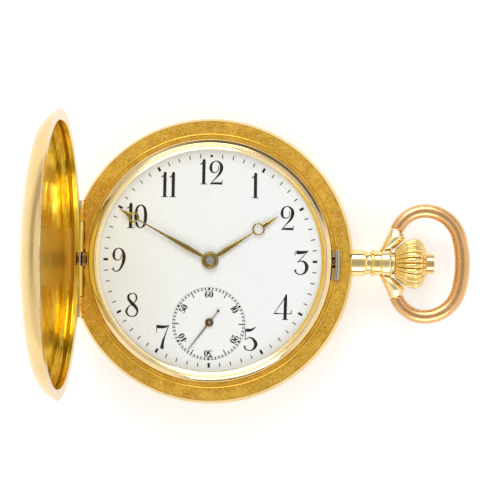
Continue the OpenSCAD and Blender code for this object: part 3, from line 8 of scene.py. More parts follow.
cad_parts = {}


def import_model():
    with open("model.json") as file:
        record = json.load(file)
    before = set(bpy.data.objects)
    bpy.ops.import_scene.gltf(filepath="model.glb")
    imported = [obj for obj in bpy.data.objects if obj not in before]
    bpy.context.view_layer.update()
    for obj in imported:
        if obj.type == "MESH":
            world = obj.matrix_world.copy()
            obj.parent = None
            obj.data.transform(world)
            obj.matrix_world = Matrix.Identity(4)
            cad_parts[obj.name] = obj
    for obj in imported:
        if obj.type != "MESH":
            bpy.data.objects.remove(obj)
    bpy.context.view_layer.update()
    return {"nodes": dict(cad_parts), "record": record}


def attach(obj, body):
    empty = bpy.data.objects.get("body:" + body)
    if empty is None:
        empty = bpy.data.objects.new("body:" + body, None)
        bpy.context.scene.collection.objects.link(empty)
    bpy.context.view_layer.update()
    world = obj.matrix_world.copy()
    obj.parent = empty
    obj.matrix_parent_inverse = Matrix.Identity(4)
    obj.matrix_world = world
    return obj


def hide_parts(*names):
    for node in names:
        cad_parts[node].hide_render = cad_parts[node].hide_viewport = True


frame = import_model()
nodes = frame["nodes"]

MM = 0.001
TAU = 2 * math.pi

# Sizes that the pieces here share with the CAD model, in mm
LID_R = 25.3
LID_DEPTH = 6.5
LID_EDGE_R = 5.0
LID_DROP = 1.5
LID_WALL = 0.6
RIM_R = 23.3
RIM_H = 0.85
HINGE = (-23.9, 9.4)
LID_Z = 9.45
LID_ANGLE = 92
KNUCKLE_R = 0.8
KNUCKLE_Y = (1.25, 6.848)
HINGE_HALF = 10.7
KNUCKLE_GAP = 0.1
PIN_HOLE_R = 0.29
DIAL_Z = 9.5
SINK_Z = 9.4
SECONDS_AT = (0.0, -11.2)
TRACK_AT = (-0.1, -11.46)
STEM_Z = 6.4
BOW_PIVOT_X = 31.9


# Meshes. A point nearer to the axis than this, in mm, lies on it.
ON_AXIS = 1e-6


def sharpen(bm, limit):
    for face in bm.faces:
        face.smooth = True
    for edge in bm.edges:
        edge.smooth = len(edge.link_faces) == 2 and edge.calc_face_angle(0) < math.radians(limit)


def finish_mesh(bm, name, material, body, replaces=(), limit=32):
    """Scales a mesh from mm, names it and lets it ride on its body."""
    bmesh.ops.recalc_face_normals(bm, faces=bm.faces)
    bmesh.ops.scale(bm, vec=(MM, MM, MM), verts=bm.verts)
    sharpen(bm, limit)
    mesh = bpy.data.meshes.new(name)
    bm.to_mesh(mesh)
    bm.free()
    piece = bpy.data.objects.new(name, mesh)
    bpy.context.scene.collection.objects.link(piece)
    mesh.materials.append(material)
    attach(piece, body)
    if replaces:
        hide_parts(*replaces)
    return piece


def arc(cx, cz, r, a0, a1, n):
    """Points on an arc, with angles in degrees from +x towards +z."""
    steps = [math.radians(a0 + (a1 - a0) * i / n) for i in range(n + 1)]
    return [(cx + r * math.cos(a), cz + r * math.sin(a)) for a in steps]


def revolve(profile, segments):
    """Turns a closed profile of (r, z) around the Z axis. Points on the axis become one vertex."""
    bm = bmesh.new()
    rings = []
    for r, z in profile:
        if r < ON_AXIS:
            rings.append([bm.verts.new((0, 0, z))])
        else:
            rings.append([bm.verts.new((r * math.cos(TAU * i / segments),
                                        r * math.sin(TAU * i / segments), z))
                          for i in range(segments)])
    for a, b in zip(rings, rings[1:] + rings[:1]):
        if len(a) == 1 and len(b) == 1:
            continue
        for i in range(segments):
            j = (i + 1) % segments
            if len(a) == 1:
                bm.faces.new((a[0], b[i], b[j]))
            elif len(b) == 1:
                bm.faces.new((a[i], b[0], a[j]))
            else:
                bm.faces.new((a[i], b[i], b[j], a[j]))
    return bm


def moved(bm, x, y):
    """The same mesh, shifted by x and y."""
    bmesh.ops.translate(bm, vec=(x, y, 0), verts=bm.verts)
    return bm


def rod_y(x, z, r, y0, y1, round_by=0.0, segments=48):
    """A rod along Y, with the edges of its ends broken by round_by."""
    half = (y1 - y0) / 2
    ends = [(0, -half), (r - round_by, -half), (r, -half + round_by), (r, half - round_by),
            (r - round_by, half), (0, half)]
    if not round_by:
        ends = [(0, -half), (r, -half), (r, half), (0, half)]
    bm = revolve(ends, segments)
    turn = Matrix.Rotation(math.radians(90), 4, "X")
    bmesh.ops.transform(bm, matrix=Matrix.Translation((x, (y0 + y1) / 2, z)) @ turn, verts=bm.verts)
    return bm


def rod_x(z, r, x0, x1, segments=48):
    """A rod along the stem axis."""
    rings = [[(x, r * math.cos(TAU * i / segments), z + r * math.sin(TAU * i / segments))
              for i in range(segments)] for x in (x0, x1)]
    return loft(rings)


def sweep_z(section, a0, a1, steps):
    """A section of (r, z) swept round Z from a0 to a1 degrees."""
    rings = []
    for k in range(steps + 1):
        a = math.radians(a0 + (a1 - a0) * k / steps)
        rings.append([(r * math.cos(a), r * math.sin(a), z) for r, z in section])
    return loft(rings)


def loft(rings):
    """Joins rings of points into one skin with flat ends."""
    bm = bmesh.new()
    lines = [[bm.verts.new(p) for p in ring] for ring in rings]
    count = len(rings[0])
    for a, b in zip(lines, lines[1:]):
        for i in range(count):
            j = (i + 1) % count
            bm.faces.new((a[i], a[j], b[j], b[i]))
    bm.faces.new(lines[0][::-1])
    bm.faces.new(lines[-1])
    return bm


def smooth_line(points, steps=10):
    """A smooth line through points of any number of values."""
    padded = [points[0]] + list(points) + [points[-1]]
    line = []
    for a, b, c, d in zip(padded, padded[1:], padded[2:], padded[3:]):
        for k in range(steps):
            t = k / steps
            line.append(tuple(0.5 * (2 * q + (r - p) * t + (2 * p - 5 * q + 4 * r - s) * t * t
                                     + (3 * q - p - 3 * r + s) * t ** 3)
                              for p, q, r, s in zip(a, b, c, d)))
    return line + [tuple(points[-1])]


def gather(parts):
    """One mesh that holds several closed ones."""
    whole = bmesh.new()
    for bm in parts:
        mesh = bpy.data.meshes.new("part")
        bm.to_mesh(mesh)
        bm.free()
        whole.from_mesh(mesh)
        bpy.data.meshes.remove(mesh)
    return whole


def plain_object(bm, name):
    """A closed mesh as an object for the boolean modifier."""
    bmesh.ops.recalc_face_normals(bm, faces=bm.faces)
    mesh = bpy.data.meshes.new(name)
    bm.to_mesh(mesh)
    bm.free()
    made = bpy.data.objects.new(name, mesh)
    bpy.context.scene.collection.objects.link(made)
    return made


def boolean(bm, others, operation):
    """Joins or cuts a closed mesh with each closed mesh of others, in mm."""
    base = plain_object(bm, "base")
    tools = [plain_object(other, "tool") for other in others]
    for tool in tools:
        step = base.modifiers.new("cut", "BOOLEAN")
        step.operation = operation
        step.solver = "MANIFOLD"
        step.object = tool
    bpy.context.view_layer.update()
    graph = bpy.context.evaluated_depsgraph_get()
    result = bmesh.new()
    result.from_mesh(base.evaluated_get(graph).to_mesh())
    for used in tools + [base]:
        bpy.data.objects.remove(used)
    return result


# Materials
class Nodes:
    """A short way to write the nodes of a material, or of the world."""

    def __init__(self, name, world=False):
        self.owner = (bpy.data.worlds if world else bpy.data.materials).new(name)
        self.owner.use_nodes = True
        self.tree = self.owner.node_tree
        self.tree.nodes.clear()
        self.out = self.add("OutputWorld" if world else "OutputMaterial")

    def add(self, kind, **sockets):
        """Adds a node. _name sets an option, i0 a socket by its place, any other key one by name."""
        node = self.tree.nodes.new("ShaderNode" + kind)
        for key, value in sockets.items():
            if key.startswith("_"):
                setattr(node, key[1:], value)
                continue
            by_place = key[0] == "i" and key[1:].isdigit()
            socket = node.inputs[int(key[1:]) if by_place else key.replace("_", " ")]
            if isinstance(value, bpy.types.NodeSocket):
                self.tree.links.new(value, socket)
            else:
                socket.default_value = value
        return node

    def math(self, operation, a, b=0.0):
        return self.add("Math", _operation=operation, i0=a, i1=b).outputs[0]

    def coords(self, scale=(1, 1, 1)):
        place = self.add("TexCoord").outputs["Object"]
        return self.add("Mapping", Vector=place, Scale=scale).outputs[0]

    def noise(self, vector, scale, detail=3.0, rough=0.5):
        return self.add("TexNoise", Vector=vector, Scale=scale, Detail=detail,
                        Roughness=rough).outputs["Fac"]

    def ramp(self, fac, stops):
        node = self.add("ValToRGB", Fac=fac)
        elements = node.color_ramp.elements
        while len(elements) < len(stops):
            elements.new(0.5)
        for element, (place, colour) in zip(elements, stops):
            element.position = place
            element.color = (*colour, 1)
        return node.outputs["Color"]

    def spread(self, value, lo, hi, from_lo=0.3, from_hi=0.7):
        """Maps from_lo ... from_hi to lo ... hi, and no further."""
        node = self.add("MapRange", Value=value, i1=from_lo, i2=from_hi, i3=lo, i4=hi)
        return node.outputs[0]

    def bump(self, height, strength, distance, normal=None):
        sockets = {"Height": height, "Strength": strength, "Distance": distance}
        if normal is not None:
            sockets["Normal"] = normal
        return self.add("Bump", **sockets).outputs[0]

    def finish(self, shader):
        """Ends the nodes with a shader and gives back their material or world."""
        self.tree.links.new(shader, self.out.inputs["Surface"])
        return self.owner


def mix_rgb(m, fac, a, b):
    node = m.add("Mix", _data_type="RGBA")
    for socket, value in ((0, fac), (6, a), (7, b)):
        if isinstance(value, bpy.types.NodeSocket):
            m.tree.links.new(value, node.inputs[socket])
        else:
            node.inputs[socket].default_value = value if socket == 0 else (*value, 1)
    return node.outputs[2]


GOLD = (0.90, 0.61, 0.19)
GOLD_WORN = (1.0, 0.82, 0.48)
# Pointiness of edges that take an edge colour and of pits, how strongly the edges take it, and how
# much of each colour is left in a pit, whose darker tint is painted shade
EDGE_POINT = (0.52, 0.62)
EDGE_WEAR_AND_LIGHT = 0.5
PIT_POINT = (0.42, 0.485)
PIT_SHADE_TINT = (0.45, 0.30, 0.15)
# How much of the colour is left in its darker patches, and the depth of fine bumps in metres
PATCH_TINT = 0.9
FINE_HEIGHT = 0.00002


def metal_shader(m, colour, edge_wear_and_light, rough, hair, bump, blotch, pit_shade=0.0):
    """Metal with slow colour change, hairlines, uneven polish, an edge colour that is wear on some
    metals and painted light on others, and darker pits that are painted shade.
    """
    place = m.coords()
    slow = m.noise(place, blotch, 4)
    point = m.add("NewGeometry").outputs["Pointiness"]
    rim = m.spread(point, 0, EDGE_WEAR_AND_LIGHT, *EDGE_POINT)
    tint = mix_rgb(m, m.spread(slow, 0, 1), colour, tuple(c * PATCH_TINT for c in colour))
    # Pointed edges take the edge colour: lighter wear on most metals, painted light and shade on the
    # hands and bow ends
    tint = mix_rgb(m, rim, tint, edge_wear_and_light)
    # Pits darker than the metal are painted shade in its hollows
    if pit_shade:
        hollow_shade = m.spread(point, pit_shade, 0, *PIT_POINT)
        tint = mix_rgb(m, hollow_shade, tint, tuple(c * k for c, k in zip(colour, PIT_SHADE_TINT)))
    polish = m.spread(m.noise(place, blotch * 6, 3), rough[0], rough[1])
    return tint, polish, m.bump(hair, bump, FINE_HEIGHT)


def metal(name, colour, edge_wear_and_light, rough=(0.08, 0.18), grain=(1, 1, 1), grain_scale=2500, bump=0.06,
          blotch=180, pit_shade=0.0):
    """Plain metal of one colour, with hairlines along the stretched axis of its grain."""
    m = Nodes(name)
    hair = m.noise(m.coords(grain), grain_scale, 2, 0.6)
    tint, polish, normal = metal_shader(m, colour, edge_wear_and_light, rough, hair, bump, blotch, pit_shade)
    shader = m.add("BsdfPrincipled", Base_Color=tint, Metallic=1.0, Roughness=polish,
                   Normal=normal)
    return m.finish(shader.outputs[0])


def polar(m):
    """Distance from the Z axis, angle round it and height, in metres and radians."""
    parts = m.add("SeparateXYZ", Vector=m.add("TexCoord").outputs["Object"])
    x, y, z = parts.outputs
    r = m.math("SQRT", m.math("ADD", m.math("MULTIPLY", x, x), m.math("MULTIPLY", y, y)))
    return r, m.math("ARCTAN2", y, x), z


# The case's flange under the lid's rim: where it lies, in metres, and its colours
FLANGE_R = (0.02525, 0.02550)
FLANGE_Z = (0.0086, 0.0088)
FLANGE_GOLD = ((0.98, 0.58, 0.07), (0.90, 0.46, 0.04))
FLANGE_SHADE = (0.70, 0.41, 0.03)
FLANGE_GRIME = (0.40, 0.21, 0.02)
FLANGE_PAINTED_SHINE = (1.0, 0.84, 0.42)
BRUSH_LINES = 7000
BRUSH_ROUND = 60


def case_gold():
    """Polished case gold, with a circular brushed and spotted flange under the lid's rim, and painted
    highlights along its brush lines.
    """
    m = Nodes("gold_case")
    r, angle, z = polar(m)
    turned = m.add("CombineXYZ", X=m.math("MULTIPLY", r, BRUSH_LINES),
                   Y=m.math("MULTIPLY", angle, BRUSH_ROUND),
                   Z=m.math("MULTIPLY", z, BRUSH_LINES)).outputs[0]
    lines = m.noise(turned, 1.0, 3, 0.7)
    spots = m.noise(m.coords(), 4600, 2, 0.7)
    clouds = m.noise(m.coords(), 420, 4, 0.6)
    shade = m.spread(m.noise(m.coords(), 75, 2), 0, 0.42, 0.45, 0.62)
    flange = m.math("MULTIPLY", m.spread(r, 1, 0, *FLANGE_R), m.spread(z, 0, 1, *FLANGE_Z))
    tint, polish, normal = metal_shader(m, GOLD, GOLD_WORN, (0.06, 0.13), lines, 0.04, 160)
    tint = mix_rgb(m, flange, tint, mix_rgb(m, m.spread(clouds, 0, 1, 0.42, 0.6), *FLANGE_GOLD))
    tint = mix_rgb(m, m.math("MULTIPLY", shade, flange), tint, FLANGE_SHADE)
    grime = m.spread(m.math("ADD", spots, m.math("MULTIPLY", clouds, 0.3)), 0, 0.75, 0.64, 0.78)
    tint = mix_rgb(m, m.math("MULTIPLY", grime, flange), tint, FLANGE_GRIME)
    # Lighter colour along the brush lines is a painted highlight
    painted_shine = m.math("MULTIPLY", m.spread(lines, 0, 0.6, 0.54, 0.66), flange)
    tint = mix_rgb(m, painted_shine, tint, FLANGE_PAINTED_SHINE)
    brushed = m.spread(lines, 0.36, 0.54)
    polish = m.add("Mix", _data_type="FLOAT", i0=flange, i2=polish, i3=brushed).outputs[0]
    rough_lines = m.math("MULTIPLY", m.math("ADD", lines, spots), flange)
    normal = m.bump(rough_lines, 0.5, 2 * FINE_HEIGHT, normal)
    shader = m.add("BsdfPrincipled", Base_Color=tint, Metallic=1.0, Roughness=polish,
                   Normal=normal)
    return m.finish(shader.outputs[0])


# The lid's inside: its colours and the half width of the middle band, in metres, whose darker colour is
# painted shade
LID_INSIDE = (0.94, 0.73, 0.14)
LID_INSIDE_WORN = (1.0, 0.90, 0.45)
LID_STREAK = (0.72, 0.46, 0.04)
LID_MIDDLE_SHADE = (0.84, 0.55, 0.10)
MIDDLE_BAND_HALF = (0.0045, 0.0065)


def lid_inner_gold():
    """Inside of the front lid: deep yellow, wiped up and down so that it shines in streaks, with
    painted shade across a rougher middle band.
    """
    m = Nodes("gold_lid_inside")
    streak = m.noise(m.coords((1, 0.035, 1)), 1400, 4, 0.6)
    wave = m.noise(m.coords((1, 0.25, 1)), 260, 3)
    tint, polish, normal = metal_shader(m, LID_INSIDE, LID_INSIDE_WORN, (0.11, 0.2), streak, 0.30, 140)
    tint = mix_rgb(m, m.spread(streak, 0, 0.3, 0.45, 0.72), tint, LID_STREAK)
    across = m.add("SeparateXYZ", Vector=m.add("TexCoord").outputs["Object"]).outputs[1]
    # A band across the middle is rougher, and its darker colour is painted shade
    middle_band = m.spread(m.math("ABSOLUTE", across), 1, 0, *MIDDLE_BAND_HALF)
    tint = mix_rgb(m, m.math("MULTIPLY", middle_band, 0.5), tint, LID_MIDDLE_SHADE)
    polish = m.math("ADD", polish, m.math("MULTIPLY", middle_band, 0.2))
    normal = m.bump(wave, 0.55, 10 * FINE_HEIGHT, normal)
    shader = m.add("BsdfPrincipled", Base_Color=tint, Metallic=1.0, Roughness=polish,
                   Normal=normal)
    return m.finish(shader.outputs[0])


gold = metal("gold_polished", GOLD, GOLD_WORN, rough=(0.07, 0.15))
gold_case = case_gold()
gold_lid = metal("gold_lid_outside", (0.86, 0.61, 0.27), (0.98, 0.80, 0.52), rough=(0.10, 0.16),
                 bump=0.03)
gold_inner = lid_inner_gold()
# The crown and pendant gold is a lighter copy of the case gold, painted light, with painted shade in
# the pits of the flutes
gold_crown_painted_light = metal("gold_crown_painted_light", (0.96, 0.73, 0.30), (1.0, 0.90, 0.60), rough=(0.10, 0.2), bump=0.08,
                   blotch=400, pit_shade=0.9)
gold_lip = metal("gold_case_lip", (1.0, 0.64, 0.09), (1.0, 0.86, 0.40), rough=(0.08, 0.16), bump=0.04)
# The glass ring's gold is a paler copy of the case gold, a painted highlight
gold_bezel_painted_light = metal("gold_glass_ring_painted_light", (1.0, 0.79, 0.44), (1.0, 0.90, 0.66), rough=(0.06, 0.12),
                  bump=0.04)
# The bow ends' and collar's gold is a paler copy of the case gold, a painted highlight, and their edges
# take a deeper gold as painted shade
gold_wing_painted_light = metal("gold_bow_ends_painted_light", (1.0, 0.83, 0.49), (0.90, 0.62, 0.20), rough=(0.18, 0.28), bump=0.08,
                  blotch=400)
rose = metal("rose_gold_satin", (0.84, 0.49, 0.22), (0.96, 0.72, 0.46), rough=(0.24, 0.34),
             grain_scale=4000, bump=0.12)
steel = metal("steel_brushed", (0.50, 0.49, 0.52), (0.92, 0.92, 0.92), rough=(0.14, 0.26),
              grain=(1, 30, 1))
steel_fine = metal("steel_polished", (0.60, 0.61, 0.63), (0.85, 0.85, 0.86), rough=(0.12, 0.25))
# Dark brown steel for the lifting spring and the winding stem: painted shade for the dark slot and gap
# they lie in
steel_dark_shade = metal("steel_dark_painted_shade", (0.26, 0.12, 0.06), (0.45, 0.30, 0.18), rough=(0.2, 0.35))
blued = metal("steel_blued", (0.05, 0.09, 0.30), (0.25, 0.30, 0.50), rough=(0.15, 0.3))
brass = metal("brass_wheels", (0.80, 0.60, 0.26), (0.95, 0.80, 0.48), rough=(0.15, 0.3))
gilt = metal("gilt_frosted", (0.86, 0.66, 0.32), (0.96, 0.82, 0.54), rough=(0.42, 0.55),
             grain_scale=6000, bump=0.25)
# The hands' gilt is far darker than gilt as painted shade, and its lighter edges are painted highlights
# on the bevels
hand_painted_light = metal("hand_gilt_painted_light", (0.38, 0.27, 0.07), (0.62, 0.48, 0.20), rough=(0.14, 0.28),
                  grain_scale=9000, bump=0.1, blotch=900)
bronze = metal("hand_brown", (0.15, 0.08, 0.03), (0.30, 0.19, 0.09), rough=(0.25, 0.4))


def enamel_material(name, colour, low, rough, bump, gloss, coat):
    m = Nodes(name)
    place = m.coords()
    slow = m.noise(place, 90, 4)
    fine = m.noise(place, 1500, 3)
    tint = mix_rgb(m, m.spread(slow, 0, 1), colour, low)
    shader = m.add("BsdfPrincipled", Base_Color=tint, Roughness=m.spread(fine, rough, rough + 0.08),
                   Normal=m.bump(fine, bump, FINE_HEIGHT), Specular_IOR_Level=gloss,
                   Coat_Weight=coat, Coat_Roughness=0.08)
    return m.finish(shader.outputs[0])


enamel = enamel_material("enamel_white", (0.89, 0.90, 0.93), (0.87, 0.88, 0.91), 0.25, 0.04, 0.4, 0.2)
ink = enamel_material("enamel_black", (0.010, 0.006, 0.007), (0.016, 0.010, 0.011), 0.5, 0.2, 0.08, 0.0)


# From these radii outwards, in metres, the glass lies on its seat and only lets light through
GLASS_SEAT_R = (0.0201, 0.0203)
GLASS_TINT = (0.99, 0.995, 0.99, 1)


def glass_material():
    """Clear glass that lets lamp light, soft light and mirrored rays straight through."""
    m = Nodes("watch_glass")
    place = m.coords()
    shader = m.add("BsdfPrincipled", Base_Color=GLASS_TINT, Transmission_Weight=1.0, IOR=1.45,
                   Specular_IOR_Level=0.1, Roughness=m.spread(m.noise(place, 300, 3), 0.0, 0.02),
                   Normal=m.bump(m.noise(place, 3000, 2), 0.01, FINE_HEIGHT / 2))
    path = m.add("LightPath")
    passing = m.math("MAXIMUM", path.outputs["Is Shadow Ray"], path.outputs["Is Diffuse Ray"])
    passing = m.math("MAXIMUM", passing, path.outputs["Is Glossy Ray"])
    passing = m.math("MAXIMUM", passing, m.spread(polar(m)[0], 0, 1, *GLASS_SEAT_R))
    clear = m.add("BsdfTransparent", Color=GLASS_TINT)
    both = m.add("MixShader", Fac=passing, i1=shader.outputs[0], i2=clear.outputs[0])
    return m.finish(both.outputs[0])


def ruby_material():
    m = Nodes("ruby_jewel")
    place = m.coords()
    slow = m.noise(place, 900, 3)
    tint = mix_rgb(m, m.spread(slow, 0, 1), (0.62, 0.02, 0.10), (0.42, 0.01, 0.06))
    shader = m.add("BsdfPrincipled", Base_Color=tint, Roughness=m.spread(slow, 0.05, 0.14),
                   Normal=m.bump(slow, 0.05, FINE_HEIGHT), Coat_Weight=0.5, Coat_Roughness=0.05)
    return m.finish(shader.outputs[0])


glass = glass_material()
ruby = ruby_material()
BY_SLOT = {"gold": gold, "rose_gold": rose, "glass": glass, "enamel": enamel,
           "hand_brass": hand_painted_light, "bronze": bronze, "brass": brass, "gilt_brass": gilt,
           "steel": steel_fine, "blued_steel": blued, "ruby": ruby}
for part in frame["record"]["subparts"]:
    skins = nodes[part["node"]].data.materials
    if not skins:
        skins.append(None)
    for i in range(len(skins)):
        skins[i] = BY_SLOT[part["material_slot"]]
# Nodes that keep their CAD shape and differ in look from the rest of their slot: the lifting spring and
# winding stem are dark as painted shade, and the pendant takes the crown's lighter gold as painted
# light
OWN_SKIN = {"lift_spring": steel_dark_shade, "case_band": gold_case, "pendant": gold_crown_painted_light,
            "winding_stem": steel_dark_shade}
for name, skin in OWN_SKIN.items():
    nodes[name].data.materials[0] = skin


# Front lid. Its edges are broken by about a tenth of a millimetre.
RIM_BREAK = 0.1
RIM_ROUND = 0.12
KNUCKLE_ROUND = 0.06
LID_SIDES = 288
EDGE_STEPS = 40
DOME_STEPS = 64


def lid_profile():
    """The lid's section: outer round edge and crown, the same inside, and the flat rim."""
    c = LID_R - math.sqrt(LID_EDGE_R ** 2 - LID_DROP ** 2)
    h = LID_DEPTH + LID_DROP
    big = (c * c + h * h - LID_EDGE_R ** 2) / (2 * (h - LID_EDGE_R))
    big_z = LID_DEPTH - big
    joint = math.degrees(math.atan2(-LID_DROP - big_z, c))
    start = math.degrees(math.asin(LID_DROP / LID_EDGE_R))
    ledge = math.degrees(math.asin((RIM_H + LID_DROP) / (LID_EDGE_R - LID_WALL)))
    outer = (arc(c, -LID_DROP, LID_EDGE_R, start, joint, EDGE_STEPS)
             + arc(0, big_z, big, joint, 90, DOME_STEPS)[1:])
    inner = (arc(0, big_z, big - LID_WALL, 90, joint, DOME_STEPS)
             + arc(c, -LID_DROP, LID_EDGE_R - LID_WALL, joint, ledge, EDGE_STEPS)[1:])
    rim = [(RIM_R + RIM_ROUND, RIM_H), (RIM_R, RIM_H - RIM_ROUND), (RIM_R, RIM_BREAK),
           (RIM_R + RIM_BREAK, 0), (LID_R - 0.8 * RIM_BREAK, 0)]
    return [(LID_R, RIM_BREAK / 2)] + outer[1:] + inner + rim


def front_lid():
    lid = revolve(lid_profile(), LID_SIDES)
    bmesh.ops.translate(lid, vec=(0, 0, LID_Z), verts=lid.verts)
    x, z = HINGE
    sides = (-1, 1)
    spans = [sorted((s * KNUCKLE_Y[0], s * KNUCKLE_Y[1])) for s in sides]
    tubes = [rod_y(x, z, KNUCKLE_R, a, b, KNUCKLE_ROUND) for a, b in spans]
    lid = boolean(lid, tubes, "UNION")
    room = KNUCKLE_R + KNUCKLE_GAP
    free = [sorted((s * KNUCKLE_Y[1], s * 2 * HINGE_HALF)) for s in sides]
    cuts = [rod_y(x, z, room, a, b) for a, b in free + [(-KNUCKLE_Y[0], KNUCKLE_Y[0])]]
    lid = boolean(lid, cuts + [rod_y(x, z, PIN_HOLE_R, -LID_R, LID_R)], "DIFFERENCE")
    there = Matrix.Translation((x, 0, z))
    turn = there @ Matrix.Rotation(math.radians(-LID_ANGLE), 4, "Y") @ there.inverted()
    bmesh.ops.recalc_face_normals(lid, faces=lid.faces)
    # Faces that look inwards get the second skin
    middle = Vector((0, 0, LID_Z + 1))
    for face in lid.faces:
        at = face.calc_center_median()
        if face.normal.dot(middle - at) > 0 and math.hypot(at.x, at.y) < RIM_R + 1:
            face.material_index = 1
    bmesh.ops.transform(lid, matrix=turn, verts=lid.verts)
    piece = finish_mesh(lid, "front_lid_shell", gold_lid, "lid_front", ("front_lid",))
    piece.data.materials.append(gold_inner)


front_lid()


# Bow: arcs of the outer edge as (centre x, centre y, radius, from and to angle, wire radius from
# and to, steps), from the seam at a bow end round to the far side
BOW_ARCS = [(39.2, 4.15, 6.8, 159.5, 158.3, 0.98, 1.02, 2),
            (39.2, 4.15, 6.8, 158.0, 156.8, 1.17, 1.24, 2),
            (39.2, 4.15, 6.8, 156.8, 90, 1.24, 1.26, 30),
            (39.2, 3.22, 7.73, 90, 16.26, 1.26, 1.36, 34),
            (28.16, 0, 19.23, 16.26, 0, 1.36, 1.39, 14)]
BOW_SIDES = 48


def bow_wire():
    half = []
    for cx, cy, reach, a0, a1, r0, r1, steps in BOW_ARCS:
        for k in range(steps):
            t = k / steps
            half.append((cx, cy, reach, math.radians(a0 + (a1 - a0) * t), r0 + (r1 - r0) * t))
    cx, cy, reach, _, _, _, r1, _ = BOW_ARCS[-1]
    whole = ([(*row, 1) for row in half] + [(cx, cy, reach, 0.0, r1, 1)]
             + [(*row, -1) for row in half[::-1]])
    up = Vector((0, 0, 1))
    rings = []
    for cx, cy, reach, a, r, side in whole:
        out = Vector((math.cos(a), side * math.sin(a), 0))
        middle = Vector((cx, side * cy, STEM_Z)) + out * (reach - r)
        turns = [TAU * i / BOW_SIDES for i in range(BOW_SIDES)]
        rings.append([middle + r * (math.cos(u) * out + math.sin(u) * up) for u in turns])
    finish_mesh(loft(rings), "bow_wire", rose, "bow_assembly", ("bow",))


# Wings that carry the bow: left edge, right edge and half thickness of each section, from the
# hub on the pendant out to the seam, and bosses on the pivot as (radius, from, to)
WING = [(30.95, 2.35, 32.85, 2.35, 0.80), (30.98, 2.42, 32.93, 2.42, 1.05),
        (31.2, 2.95, 33.5, 2.72, 1.36), (31.62, 3.9, 34.68, 3.74, 1.66),
        (32.02, 4.8, 35.5, 4.58, 1.68), (32.4, 5.65, 35.55, 5.02, 1.46),
        (32.72, 6.35, 35.36, 5.42, 1.25), (32.83, 6.5, 35.27, 5.60, 1.18),
        (32.92, 6.50, 35.18, 5.655, 1.1)]
WING_BOSSES = [(0.95, 1.65, 2.6), (0.55, 1.25, 2.5)]
WING_SIDES = 56


def bow_wings():
    wings = []
    for side in (-1, 1):
        rings = []
        for lx, ly, rx, ry, h in smooth_line(WING, steps=6):
            cx, cy, ex, ey = (lx + rx) / 2, (ly + ry) / 2, (rx - lx) / 2, (ry - ly) / 2
            rings.append([(cx + ex * math.cos(a), side * (cy + ey * math.cos(a)),
                           STEM_Z + h * math.sin(a))
                          for a in (TAU * i / WING_SIDES for i in range(WING_SIDES))])
        bosses = [rod_y(BOW_PIVOT_X, STEM_Z, r, *sorted((side * a, side * b)))
                  for r, a, b in WING_BOSSES]
        wings.append(boolean(loft(rings), bosses, "UNION"))
    finish_mesh(gather(wings), "bow_wings", gold_wing_painted_light, "bow_assembly", ("bow_ends",))


# Crown: distance along the stem, radius and depth of the flutes
CROWN_RIBS = 26
RIB_STEPS = 16
FLUTE_POWER = 3.4
CROWN = [(33.12, 2.06, 0.0), (33.56, 2.06, 0.0), (33.62, 2.12, 0.02), (33.66, 2.58, 0.24),
         (34.0, 2.96, 0.36), (34.8, 3.56, 0.48), (35.6, 4.12, 0.54), (36.3, 4.38, 0.56),
         (36.9, 4.52, 0.56), (37.15, 4.61, 0.50), (37.3, 4.63, 0.46), (37.45, 4.60, 0.50),
         (37.7, 4.55, 0.56), (38.0, 4.44, 0.56), (38.3, 4.26, 0.54), (38.6, 3.94, 0.50),
         (38.9, 3.48, 0.42), (39.15, 2.96, 0.26), (39.35, 2.58, 0.16), (39.46, 2.32, 0.04),
         (39.5, 2.14, 0.0)]
CROWN_BORE = [(39.46, 1.98), (37.76, 1.98), (37.72, 1.94), (37.72, 0.97), (33.12, 0.97)]


def crown_fluted():
    count = CROWN_RIBS * RIB_STEPS
    line = CROWN[:4] + smooth_line(CROWN[4:], steps=4) + [(x, r, 0.0) for x, r in CROWN_BORE]
    bm = bmesh.new()
    rings = []
    for x, r, depth in line:
        ring = []
        for i in range(count):
            u = 2 * (i % RIB_STEPS) / RIB_STEPS - 1
            cut = depth * abs(u) ** FLUTE_POWER
            a = TAU * i / count
            ring.append(bm.verts.new((x, (r - cut) * math.sin(a), STEM_Z + (r - cut) * math.cos(a))))
        rings.append(ring)
    for a, b in zip(rings, rings[1:] + rings[:1]):
        for i in range(count):
            j = (i + 1) % count
            bm.faces.new((a[i], a[j], b[j], b[i]))
    finish_mesh(bm, "crown_fluted", gold_crown_painted_light, "crown_and_stem", ("crown",), limit=50)


# Glass ring: a rounded outer slope and two beads by the crystal, as (r, z)
BEZEL = [(21.05, 8.94), (21.05, 9.64), (20.36, 9.64), (20.30, 9.70), (20.30, 10.22), (20.34, 10.27),
         (20.80, 10.45), (20.81, 10.84), (20.86, 10.98), (20.91, 11.08), (20.98, 11.14),
         (21.05, 11.165), (21.12, 11.14), (21.18, 11.08), (21.21, 10.98), (21.23, 10.88),
         (21.28, 10.88), (21.30, 10.98), (21.33, 11.01), (21.38, 10.99), (21.42, 10.965),
         (21.62, 10.83), (21.82, 10.69), (22.00, 10.56), (22.07, 10.49), (22.13, 10.38),
         (22.17, 10.2), (22.19, 10.0), (22.20, 9.90), (22.20, 8.94)]


def bezel_ring():
    bm = revolve(BEZEL, segments=320)
    finish_mesh(bm, "bezel_ring", gold_bezel_painted_light, "case", ("bezel",), limit=40)


